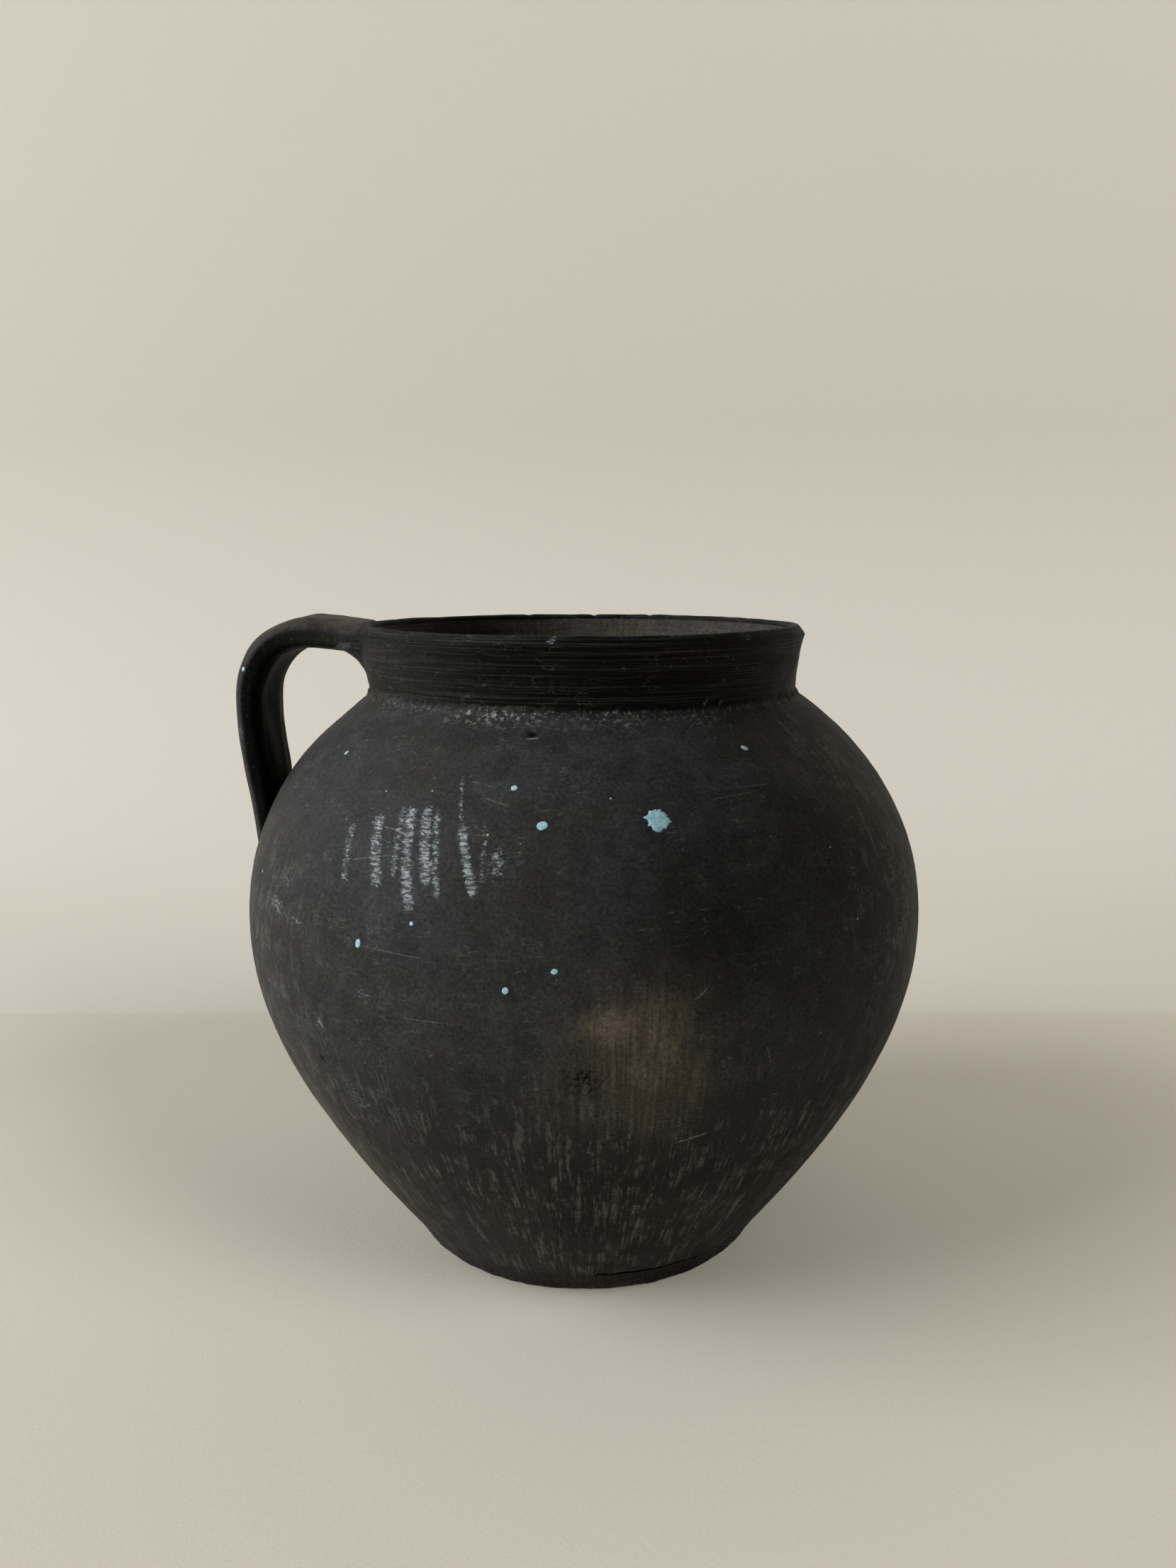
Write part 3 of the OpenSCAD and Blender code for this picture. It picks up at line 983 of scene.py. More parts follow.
@dataclass(frozen=True)
class Earthenware:
    """Smoked earthenware: coiled, scraped and wiped with a wet hand, then fired black in smoke and never glazed.

    The carbon makes it near black and the bare porous clay scatters light, so it is matt with
    almost no sheen, grey where it is rubbed and brown where the flame burnt the carbon off.
    Its deep colour also paints shade on the lower body, the right side, the neck's front and the strap's near edge and
    inner face, and its brown paints warm bounce light on the right edge and the strap's far edge.
    Its finest throwing lines and scratches are drawn about twice too coarse, so that they show.
    """

    name: str
    body: str = "#2d2e2f"
    deep: str = "#070707"
    pale_body: str = "#3a3b3c"
    warm_body: str = "#33302a"
    brown: str = "#635a4d"
    rubbed: str = "#9aa3a7"
    scrape: str = "#75766f"
    crust: str = "#918f8b"
    scratch: str = "#98968d"
    roughness: float = 0.6
    ior: float = 1.45
    sheen: float = 0.08

    def build(self) -> bpy.types.Material:
        """Makes the material.

        Returns:
            The material.
        """
        material = bpy.data.materials.new(self.name)
        material.use_nodes = True
        tree = material.node_tree
        tree.nodes.clear()
        place = add(tree, "ShaderNodeTexCoord").outputs["Object"]
        solid = add(tree, "ShaderNodeVectorMath", {0: place, "Scale": 1 / MM}, operation="SCALE").outputs[0]
        skin = add(tree, "ShaderNodeAttribute", attribute_name="wrap").outputs["Vector"]
        made = {key: add(tree, "ShaderNodeAttribute", attribute_name=key).outputs["Fac"] for key in MARK_NAMES}
        scratch = add(tree, "ShaderNodeAttribute", attribute_name="scratch").outputs["Vector"]
        parts = add(tree, "ShaderNodeSeparateXYZ", {0: scratch}).outputs
        made |= {"beside": parts[0], "cut": parts[2]}

        # Grains: where each is measured, its size in millimetres along each axis, detail and roughness
        for key, vector, size, detail, rough in (
            ("clouds", solid, (42, 42, 42), 3.0, 0.55),
            ("blotches", solid, (11, 11, 11), 4.0, 0.6),
            ("temper", solid, (1.1, 1.1, 1.1), 3.0, 0.65),
            ("dust", solid, (0.45, 0.45, 0.45), 2.0, 0.6),
            ("crumbs", solid, (1.9, 1.9, 1.3), 3.0, 0.7),
            ("pits", solid, (1.5, 1.5, 1.5), 1.0, 0.5),
            ("streak", skin, (1.5, 1.5, 17.0), 4.0, 0.6),
            ("thread", skin, (0.8, 0.8, 6.0), 2.0, 0.5),
            ("broken", skin, (7.0, 7.0, 9.0), 3.0, 0.62),
            ("across", skin, (7.0, 7.0, 0.9), 3.0, 0.65),
            ("wander", skin, (13.0, 13.0, 3.4), 2.0, 0.5),
            ("dash", skin, (4.2, 4.2, 0.95), 3.0, 0.6),
            ("fleck", skin, (1.5, 1.5, 0.7), 2.0, 0.6),
            ("ring", skin, (70.0, 70.0, 0.55), 3.0, 0.7),
        ):
            mapped = add(tree, "ShaderNodeMapping", {"Vector": vector, "Scale": [1 / length for length in size]})
            grain = add(tree, "ShaderNodeTexNoise", {
                "Vector": mapped.outputs[0], "Scale": 1.0, "Detail": detail, "Roughness": rough})
            made[key] = grain.outputs["Fac"]

        # Shares: each is made from what stands before it. STEP is a smooth step from one value to another.
        for key, kind, *given in (
            ("pale", "STEP", "blotches", 0.34, 0.70),
            ("warm", "STEP", "clouds", 0.42, 0.68, 0.0, 0.5),
            ("fire_mottle", "STEP", "blotches", 0.25, 0.66, 0.55, 1.1),
            ("fire_streak", "STEP", "streak", 0.36, 0.62, 0.45, 1.15),
            ("fire_and_warm_light", "MULTIPLY", "browned_and_warm_light", "fire_mottle"),
            ("fire_and_warm_light", "MULTIPLY", "fire_and_warm_light", "fire_streak"),
            ("fire_and_warm_light", "MINIMUM", "fire_and_warm_light", 1.0),
            ("speckle", "STEP", "temper", 0.28, 0.74, 0.66, 1.34),
            ("gate", "STEP", "broken", 0.44, 0.60),
            ("wide_gate", "STEP", "broken", 0.36, 0.54, 0.0, 0.7),
            ("streaks", "STEP", "streak", 0.50, 0.60),
            ("streaks", "MULTIPLY", "streaks", "gate"),
            ("threads", "STEP", "thread", 0.56, 0.68, 0.0, 0.8),
            ("threads", "MULTIPLY", "threads", "wide_gate"),
            ("streaks", "MAXIMUM", "streaks", "threads"),
            ("streaks", "MULTIPLY", "streaks", "scraped"),
            ("hatch", "STEP", "across", 0.50, 0.60),
            ("hatch", "MULTIPLY", "hatch", "gate"),
            ("hatch", "MULTIPLY", "hatch", "hatched"),
            ("lines", "MAXIMUM", "streaks", "hatch"),
            ("line_share", "MULTIPLY", "lines", 0.46),
            ("hair", "SUBTRACT", "wander", 0.5),
            ("hair", "ABSOLUTE", "hair"),
            ("hair", "STEP", "hair", 0.009, 0.002, 0.0, 0.16),
            ("hair", "MULTIPLY", "hair", "gate"),
            ("dashes", "STEP", "dash", 0.44, 0.57, 0.16, 1.0),
            ("rub", "SUBTRACT", "fleck", 0.5),
            ("rub", "MULTIPLY_ADD", "rub", 2.6, "rubbed"),
            ("rub", "STEP", "rub", 0.22, 0.95),
            ("rub_floor", "STEP", "rubbed", 0.04, 0.55),
            ("rub", "MULTIPLY", "rub", "rub_floor"),
            ("rub", "MULTIPLY", "rub", "dashes"),
            ("crumbled", "STEP", "crumbs", 0.52, 0.62),
            ("crumbled", "MULTIPLY", "crumbled", "crust"),
            ("worn", "STEP", "blotches", 0.40, 0.66, 0.0, 0.05),
            ("worn", "MULTIPLY", "worn", "edge"),
            ("throwing", "STEP", "ring", 0.50, 0.66, 0.0, 0.15),
            ("throwing", "MULTIPLY", "throwing", "thrown"),
            ("scratch_line", "ABSOLUTE", "beside"),
            ("scratch_line", "STEP", "scratch_line", 1.25, 0.5),
            ("scratch_line", "MULTIPLY", "scratch_line", "cut"),
            ("scratch_grit", "STEP", "dust", 0.40, 0.56, 0.1, 0.85),
            ("scratch_line", "MULTIPLY", "scratch_line", "scratch_grit"),
            ("pitting", "STEP", "pits", 0.50, 0.64),
            ("pitting", "MULTIPLY", "pitting", "pitted"),
            ("pin_holes", "STEP", "pits", 0.70, 0.78, 0.0, 0.14),
            # how high the skin stands, in millimetres
            ("height", "MULTIPLY", "temper", 0.10),
            ("height", "MULTIPLY_ADD", "dust", 0.05, "height"),
            ("height", "MULTIPLY_ADD", "blotches", 0.25, "height"),
            ("height", "MULTIPLY_ADD", "lines", -0.06, "height"),
            ("height", "MULTIPLY_ADD", "pitting", -0.30, "height"),
            ("height", "MULTIPLY_ADD", "rub", 0.03, "height"),
            ("height", "MULTIPLY_ADD", "crumbled", 0.28, "height"),
            ("height", "SUBTRACT", "height", "pin_holes"),
            ("ring_height", "MULTIPLY", "ring", "thrown"),
            ("height", "MULTIPLY_ADD", "ring_height", 0.20, "height"),
            ("dusty", "MAXIMUM", "rub", "crumbled"),
            ("rough", "STEP", "blotches", 0.3, 0.7, self.roughness - 0.06, self.roughness + 0.06),
            ("rough", "MULTIPLY_ADD", "dusty", 0.2, "rough"),
        ):
            inputs = dict(enumerate(made[value] if isinstance(value, str) else value for value in given))
            if kind == "STEP":
                made[key] = add(tree, "ShaderNodeMapRange", inputs, interpolation_type="SMOOTHSTEP").outputs[0]
            else:
                made[key] = add(tree, "ShaderNodeMath", inputs, operation=kind).outputs[0]

        # Colours laid over the clay one after another, each by its share
        colour = linear(self.body)
        for key, over in (
            # the deep layer is smoke-black plus painted shade, and the brown layer is flame marks plus painted warm
            # bounce light
            ("pale", self.pale_body), ("warm", self.warm_body), ("smoked", self.deep), ("fire_and_warm_light", self.brown),
            ("line_share", self.scrape), ("hair", self.scratch), ("rub", self.rubbed), ("crumbled", self.crust),
            ("worn", self.rubbed), ("throwing", self.scrape), ("scratch_line", self.scratch), ("pitting", self.deep),
        ):
            layer = add(tree, "ShaderNodeMix", {0: made[key], 6: colour, 7: linear(over)}, data_type="RGBA")
            colour = layer.outputs[2]
        speckled = add(
            tree, "ShaderNodeMix", {0: 1.0, 6: colour, 7: made["speckle"]}, data_type="RGBA", blend_type="MULTIPLY"
        )

        bump = add(tree, "ShaderNodeBump", {"Height": made["height"], "Strength": 0.8, "Distance": MM})
        shader = add(tree, "ShaderNodeBsdfPrincipled", {
            "Base Color": speckled.outputs[2], "Roughness": made["rough"], "IOR": self.ior,
            "Specular IOR Level": self.sheen, "Normal": bump.outputs[0]})
        add(tree, "ShaderNodeOutputMaterial", {"Surface": shader.outputs[0]})
        return material


@dataclass(frozen=True)
class WallPaint:
    """Emulsion wall paint, spattered and dried: chalky, slightly translucent at its thin edges and a little dirty."""

    name: str = "dried_emulsion_paint"
    pale: str = "#b9deea"
    deep: str = "#8dc3d4"
    grime: str = "#5d6f74"
    cream: str = "#cfc8b0"
    roughness: float = 0.55
    ior: float = 1.46

    def build(self) -> bpy.types.Material:
        """Makes the material.

        Returns:
            The material.
        """
        material = bpy.data.materials.new(self.name)
        material.use_nodes = True
        tree = material.node_tree
        tree.nodes.clear()
        place = add(tree, "ShaderNodeTexCoord").outputs["Object"]
        rim = add(tree, "ShaderNodeAttribute", attribute_name="rim").outputs["Fac"]
        creamy = add(tree, "ShaderNodeAttribute", attribute_name="cream").outputs["Fac"]
        # the mottle's spots are 1.1 mm and the crackle's 0.4 mm
        mottle = add(tree, "ShaderNodeTexNoise", {"Vector": place, "Scale": 900.0, "Detail": 3.0}).outputs["Fac"]
        crackle = add(tree, "ShaderNodeTexNoise", {"Vector": place, "Scale": 2600.0, "Detail": 2.0}).outputs["Fac"]
        share = add(tree, "ShaderNodeMapRange", {"Value": mottle, "From Min": 0.35, "From Max": 0.65})
        colour = add(tree, "ShaderNodeMix", {
            0: share.outputs["Result"], 6: linear(self.deep), 7: linear(self.pale)}, data_type="RGBA").outputs[2]
        colour = add(tree, "ShaderNodeMix", {0: creamy, 6: colour, 7: linear(self.cream)}, data_type="RGBA").outputs[2]
        dirt = add(tree, "ShaderNodeMapRange", {"Value": crackle, "From Min": 0.6, "From Max": 0.72, "To Max": 0.5})
        dirt = add(tree, "ShaderNodeMath", {0: dirt.outputs["Result"], 1: rim}, operation="MAXIMUM").outputs[0]
        colour = add(tree, "ShaderNodeMix", {0: dirt, 6: colour, 7: linear(self.grime)}, data_type="RGBA").outputs[2]
        bump = add(tree, "ShaderNodeBump", {"Height": crackle, "Strength": 0.5, "Distance": 0.0001})
        shader = add(
            tree, "ShaderNodeBsdfPrincipled",
            {"Base Color": colour, "Roughness": self.roughness, "IOR": self.ior, "Normal": bump.outputs[0]},
        )
        add(tree, "ShaderNodeOutputMaterial", {"Surface": shader.outputs[0]})
        return material


@dataclass(frozen=True)
class StudioPaper:
    """Matt studio covering for the floor and the backdrop: one pale colour with a faint tooth."""

    name: str
    colour: str
    shade: str
    roughness: float = 0.9

    def build(self) -> bpy.types.Material:
        """Makes the material.

        Returns:
            The material.
        """
        material = bpy.data.materials.new(self.name)
        material.use_nodes = True
        tree = material.node_tree
        tree.nodes.clear()
        place = add(tree, "ShaderNodeTexCoord").outputs["Object"]
        # a tooth of 1.1 mm
        tooth = add(tree, "ShaderNodeTexNoise", {"Vector": place, "Scale": 900.0, "Detail": 3.0}).outputs["Fac"]
        colour = add(
            tree, "ShaderNodeMix", {0: tooth, 6: linear(self.shade), 7: linear(self.colour)}, data_type="RGBA"
        ).outputs[2]
        bump = add(tree, "ShaderNodeBump", {"Height": tooth, "Strength": 0.25, "Distance": 0.0004})
        shader = add(
            tree, "ShaderNodeBsdfPrincipled",
            {"Base Color": colour, "Roughness": self.roughness, "Normal": bump.outputs[0]},
        )
        add(tree, "ShaderNodeOutputMaterial", {"Surface": shader.outputs[0]})
        return material


# ------------------------------------------------------------ sub-assemblies


@dataclass
class Spots:
    """The points of a turned piece on its true section, before the hand's work."""

    turn: np.ndarray
    r: np.ndarray
    z: np.ndarray
    out_r: np.ndarray
    out_z: np.ndarray
    climb: np.ndarray
    side: np.ndarray

    @property
    def outside(self) -> np.ndarray:
        """Which of them lie on the outer skin."""
        return self.side == Side.OUTSIDE.value

    @property
    def under(self) -> np.ndarray:
        """Which of them lie on a sole or a joint."""
        return self.side == Side.UNDER.value


Worked = tuple[np.ndarray, np.ndarray, np.ndarray]


@dataclass
class SubAssembly:
    """A group of pieces that are built and dressed together."""

    skin: JarSkin
    marks: ClayMarks
    pieces: list[tuple[bpy.types.Object, Slot]] = field(default_factory=list)

    def turn_piece(
        self, name: str, rows: Rows, slot: Slot, wrap_r: float = WRAP_R, **shape: float | bool
    ) -> bpy.types.Object:
        """Builds one turned piece with the hand's work on it.

        Args:
            name: Its name, which is its CAD node's.
            rows: Its section.
            slot: The slot of its finish.
            wrap_r: The radius that patterns round it are measured at.
            shape: What turned() takes beside the rows and steps.

        Returns:
            The piece.
        """
        mesh = to_mesh(turned(rows, TURN_STEPS, **shape))
        row = numbers(mesh, "row")
        x, y, _ = vertices(mesh).T
        spots = Spots(
            np.degrees(np.arctan2(x, -y)),
            *(a[row] for a in (rows.r, rows.z, rows.out_r, rows.out_z, rows.climb, rows.side)),
        )
        turn, moved_r, moved_z = self.worked(name, spots)
        points = self.skin.hand.settle(turn, moved_r, moved_z)
        says = self.marks.outside(turn, spots.r, spots.z)
        inner = self.marks.inside(turn, spots.r, spots.z)
        for key, values in says.items():
            values[~spots.outside] = inner[key][~spots.outside]
        t = np.radians(turn)
        says["wrap"] = np.stack([wrap_r * np.sin(t), -wrap_r * np.cos(t), spots.climb], 1)
        piece = finished(name, mesh, points, says)
        self.pieces.append((piece, slot))
        return piece

    def worked(self, name: str, spots: Spots) -> Worked:
        """Moves a turned piece's points as the hand did.

        Args:
            name: The piece's name.
            spots: Its points.

        Returns:
            The moved turns, radii and heights.
        """
        hand = self.skin.hand
        out = np.where(spots.outside, hand.outside(spots.turn, spots.r, spots.z, spots.climb), 0.0)
        inner = spots.side == Side.INSIDE.value
        out = np.where(inner, -hand.inside(spots.turn, spots.r, spots.z), out)
        return spots.turn, spots.r + spots.out_r * out, spots.z + spots.out_z * out

    def dress(self, finishes: dict[Slot, bpy.types.Material]) -> None:
        """Gives each piece its finish and its place in the frame.

        Args:
            finishes: The materials by slot.
        """
        for piece, slot in self.pieces:
            piece.data.materials.append(finishes[slot])
            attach(piece, "root")
            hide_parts(piece.name.removesuffix("_skin"))
            log.info("%s: %d faces, %s", piece.name, len(piece.data.polygons), slot.value)


@dataclass
class Foot(SubAssembly):
    """The base slab, the strip of clay wrapped round its edge and the coil pressed into the inside corner."""

    band_t: float = 4.5
    seam_turn: float = 3.0
    seam_gap: float = 0.4
    seam_coil: float = 7.0

    def build(self) -> None:
        """Builds the three pieces."""
        p = self.skin.profile
        slope = (p.band_top_r - p.foot_r) / p.floor_z
        edge_r = p.foot_r - self.band_t
        up, down = np.array([0.0, 1.0]), np.array([0.0, -1.0])

        low = np.stack([np.linspace(0, edge_r + slope * p.recess_z, 26), np.full(26, p.recess_z)], 1)
        high = np.stack([np.linspace(edge_r + slope * p.floor_z, 0, 30), np.full(30, p.floor_z)], 1)
        rows = Rows.of(low, down, 0, Side.UNDER).then(Rows.of(high, down, 0, Side.INSIDE))
        self.turn_piece("base_slab_skin", rows, Slot.BLACK, wrap_r=40.0, closed=False)

        z = np.concatenate([[p.toe * 0.35, p.toe], np.linspace(p.toe, p.floor_z, 16)[1:]])
        face = np.stack([p.foot_r + slope * z - np.array([0.28] + [0.0] * (len(z) - 1)), z], 1)
        lie = np.array([1.0, -slope]) / math.hypot(1, slope)
        top = np.stack([np.linspace(p.band_top_r - 0.5, p.band_top_r - self.band_t, 6), np.full(6, p.floor_z)], 1)
        sole = np.stack([np.linspace(edge_r, p.foot_r - p.toe, 6), np.zeros(6)], 1)
        rows = Rows.of(sole, down, -p.floor_z, Side.UNDER).then(
            Rows.of(face, lie, z - p.floor_z, Side.OUTSIDE), Rows.of(top, up, 0, Side.UNDER))
        half = math.degrees(self.seam_gap / 2 / p.foot_r)
        self.turn_piece("foot_band_skin", rows, Slot.BLACK, start=self.seam_turn + half, sweep=360 - 2 * half)

        wall_way = bezier_way(p.flank, 0)[0]
        corner = np.array([p.inside_root(), p.floor_z])
        one, other = corner + self.seam_coil * 0.6 * wall_way, corner - [self.seam_coil, 0]
        face = bezier(np.array([one, mix(one, corner, 0.55), mix(other, corner, 0.55), other]), np.linspace(0, 1, 12))
        away = np.array([0.75, -0.66])
        rows = Rows.of(corner + [0.4, -0.4], away, 0, Side.UNDER).then(Rows.of(face, away, 0, Side.INSIDE))
        self.turn_piece("base_seam_coil_skin", rows, Slot.BLACK)

    def worked(self, name: str, spots: Spots) -> Worked:
        """Smears the strip's upper edge shut where its joint isn't open, and closes its ends low down.

        Args:
            name: The piece's name.
            spots: Its points.

        Returns:
            The moved turns, radii and heights.
        """
        turn, new_r, new_z = super().worked(name, spots)
        p, hand = self.skin.profile, self.skin.hand
        r, z = spots.r, spots.z
        if name.startswith("foot_band"):
            lap = hand.lap(turn)
            crumbly = hand.noise.at(turn * 0.9, z / 1.2, 3.0)
            smeared = (1 - lap) * 0.75 * ease(z, 3.5, p.floor_z) + 0.16 * crumbly * ease(z, 9, 6)
            new_r = new_r + np.where(spots.outside, smeared, 0)
            new_z = np.where(z > p.floor_z - 0.01, new_z + 0.15 * (1 - lap) - 0.25 * lap, new_z)
            off = turn - self.seam_turn
            turn = np.where(np.abs(off) < 0.3, self.seam_turn + off * ease(z, 4.5, 8.5), turn)
            chips = 0.5 * np.exp(-(((turn + 6) / 1.0) ** 2)) + 0.45 * np.exp(-(((turn + 1.5) / 0.8) ** 2))
            new_z = new_z + chips * ease(z, 2.0, 0.0)
        if name.startswith("base_slab"):
            t = np.radians(turn)
            spiral = 0.22 * np.sin(r / 1.6 + t) * ease(r, 66, 50) * ease(z, p.floor_z - 1, p.floor_z)
            scored = 0.12 * hand.noise.at(r * np.sin(t) / 9, r * np.cos(t) / 2.2, 5.0)
            new_r, new_z = r, z + spiral + np.where(spots.under, scored, 0.3 * scored)
        return turn, new_r, new_z


@dataclass
class Body(SubAssembly):
    """The six courses of the wall."""

    lap_depth: float = 4.6

    def build(self) -> None:
        """Builds every course."""
        p, skin = self.skin.profile, self.skin
        ends = p.course_ends
        for i, (s_from, s_to) in enumerate(zip(ends, ends[1:])):
            s = skin.places(s_from, s_to, ROW)
            at, out = p.body(s)
            rows = Rows.of(at, out, skin.climb_at(s), Side.OUTSIDE)
            s = skin.places(skin.scarfed(s_from), skin.scarfed(s_to), INNER_ROW)
            at, out = p.body(s)
            rows = rows.then(Rows.of(at - p.wall_t * out, out, skin.climb_at(s), Side.INSIDE).back())
            if i == 0:
                toe_r = p.inside_root()
                depth = np.array([p.root_r - toe_r, 7.0, 4.5, 3.2, 2.0, 1.0, 0.4])
                under = np.stack([p.root_r - depth, np.full(len(depth), p.floor_z)], 1)
                rows = rows.then(Rows.of(under, np.array([0.0, -1.0]), 0, Side.UNDER))
            slot = Slot.WORN if s_from < 1 else Slot.BLACK
            self.turn_piece(f"wall_course_{i + 1}_skin", rows, slot)

    def worked(self, name: str, spots: Spots) -> Worked:
        """Lifts the first course's lower edge where its joint with the strip is open.

        Args:
            name: The piece's name.
            spots: Its points.

        Returns:
            The moved turns, radii and heights.
        """
        turn, new_r, new_z = super().worked(name, spots)
        p, hand = self.skin.profile, self.skin.hand
        if name.startswith("wall_course_1"):
            rise = hand.lap_rise * hand.lap(turn)
            ragged = 1 + 0.22 * hand.noise.at(turn / 1.3, 1.0, 2.0)
            depth = (p.root_r - spots.r) / self.lap_depth
            under = spots.under & (depth < 1)
            new_z = new_z + np.where(under, rise * ragged * (1 - depth**2), 0)
            new_z = new_z + np.where(spots.outside, rise * ragged * np.exp(-spots.climb / 1.9), 0)
            new_r = new_r + np.where(spots.outside, 0.35 * rise * np.exp(-spots.climb / 2.5), 0)
        return turn, new_r, new_z


@dataclass
class Neck(SubAssembly):
    """The thrown neck, the bead of slip round its foot and the lip."""

    bead: float = 2.6

    def build(self) -> None:
        """Builds the three pieces."""
        p = self.skin.profile
        at = bezier(p.neck, np.linspace(0, 1, 200))
        run = np.concatenate([[0], np.cumsum(np.hypot(*np.diff(at, axis=0).T))])
        t = np.interp(np.linspace(0, run[-1], math.ceil(run[-1] / NECK_ROW) + 1), run, np.linspace(0, 1, 200))
        at, way = bezier(p.neck, t), bezier_way(p.neck, t)
        out = np.stack([way[:, 1], -way[:, 0]], 1)
        base = self.skin.climb[-1]
        rows = Rows.of(at, out, base + at[:, 1] - p.neck_z, Side.OUTSIDE)
        t = np.linspace(1, 0.06, 34)
        at = bezier(p.neck, t) - [p.neck_t, 0]
        inner = Rows.of(at, np.array([1.0, 0.0]), base + at[:, 1] - p.neck_z, Side.INSIDE)
        foot, foot_out = p.body([2])
        low = Rows.of(
            np.array([[p.neck_r - p.neck_t, p.neck_z - p.wall_t * 0.35], foot[0] - p.wall_t * foot_out[0]]),
            np.array([[0.93, -0.37], foot_out[0]]), base - 4, Side.INSIDE)
        self.turn_piece("neck_collar_skin", rows.then(inner, low), Slot.BLACK, wrap_r=NECK_WRAP_R)
        self.build_lip(base)
        self.build_bead(base)

    def build_lip(self, base: float) -> None:
        """Builds the lip.

        Args:
            base: How far up the skin the neck starts.
        """
        p = self.skin.profile
        lip_r = p.neck_top_r + p.lip_flare
        mid_z = (p.lip_z + p.top_z) / 2
        crest = np.array([lip_r - p.lip_bevel - p.crest_r * math.cos(math.radians(50)), p.top_z - p.crest_r])
        angle = np.radians(np.linspace(50, 180, 15))
        round_over = crest + p.crest_r * np.stack([np.cos(angle), np.sin(angle)], 1)
        low = np.linspace([p.neck_top_r, p.lip_z], [lip_r, mid_z], 9)
        bevel = np.linspace([lip_r, mid_z], round_over[0], 10)[1:-1]
        inner = np.linspace(round_over[-1], [p.neck_top_r - p.neck_t, p.lip_z], 12)[1:]
        low_out = np.array([0.97, -0.24])
        bevel_way = (round_over[0] - [lip_r, mid_z]) / np.linalg.norm(round_over[0] - [lip_r, mid_z])
        bevel_out = np.array([bevel_way[1], -bevel_way[0]])
        crest_out = np.stack([np.cos(angle), np.sin(angle)], 1)
        parts = [
            Rows.of(at, out, base + at[:, 1] - p.neck_z, side)
            for at, out, side in (
                (low, low_out, Side.OUTSIDE), (bevel, bevel_out, Side.OUTSIDE),
                (round_over, crest_out, Side.OUTSIDE), (inner, np.array([1.0, 0.0]), Side.INSIDE))
        ]
        self.turn_piece("lip_coil_skin", parts[0].then(*parts[1:]), Slot.BLACK, wrap_r=NECK_WRAP_R)

    def build_bead(self, base: float) -> None:
        """Builds the bead.

        Args:
            base: How far up the skin the neck starts.
        """
        p = self.skin.profile
        corner = np.array([p.neck_r, p.neck_z])
        down = p.body([1.96])[0][0] - corner
        up = bezier(p.neck, 0.1)[0] - corner
        one = corner + self.bead * down / np.linalg.norm(down)
        other = corner + self.bead * up / np.linalg.norm(up)
        face = bezier(np.array([one, mix(one, corner, 0.3), mix(other, corner, 0.3), other]), np.linspace(0, 1, 12))
        out = np.array([0.8, 0.6])
        rows = Rows.of(face, out, base, Side.OUTSIDE).then(Rows.of(corner - [0.5, 0.4], out, base, Side.UNDER))
        self.turn_piece("neck_bead_skin", rows, Slot.BLACK, wrap_r=NECK_WRAP_R)

    def worked(self, name: str, spots: Spots) -> Worked:
        """Crumbles the bead.

        Args:
            name: The piece's name.
            spots: Its points.

        Returns:
            The moved turns, radii and heights.
        """
        turn, new_r, new_z = super().worked(name, spots)
        p, at = self.skin.profile, self.skin.hand.noise.at
        if name.startswith("neck_bead"):
            r, z = spots.r, spots.z
            across = np.hypot(r - p.neck_r, z - p.neck_z) / self.bead
            middle = np.clip(1 - across**2, 0, 1)
            t = np.radians(turn)
            x, y = np.sin(t) * p.neck_r, np.cos(t) * p.neck_r
            lumps = 0.5 * at(x / 2.4, y / 2.4, z / 2) + 0.3 * at(x / 1.1, y / 1.1, z / 1.1)
            lump = np.where(spots.outside, (0.1 + lumps) * (0.35 + middle) - 0.12, 0)
            new_r, new_z = new_r + spots.out_r * lump, new_z + spots.out_z * lump
        return turn, new_r, new_z


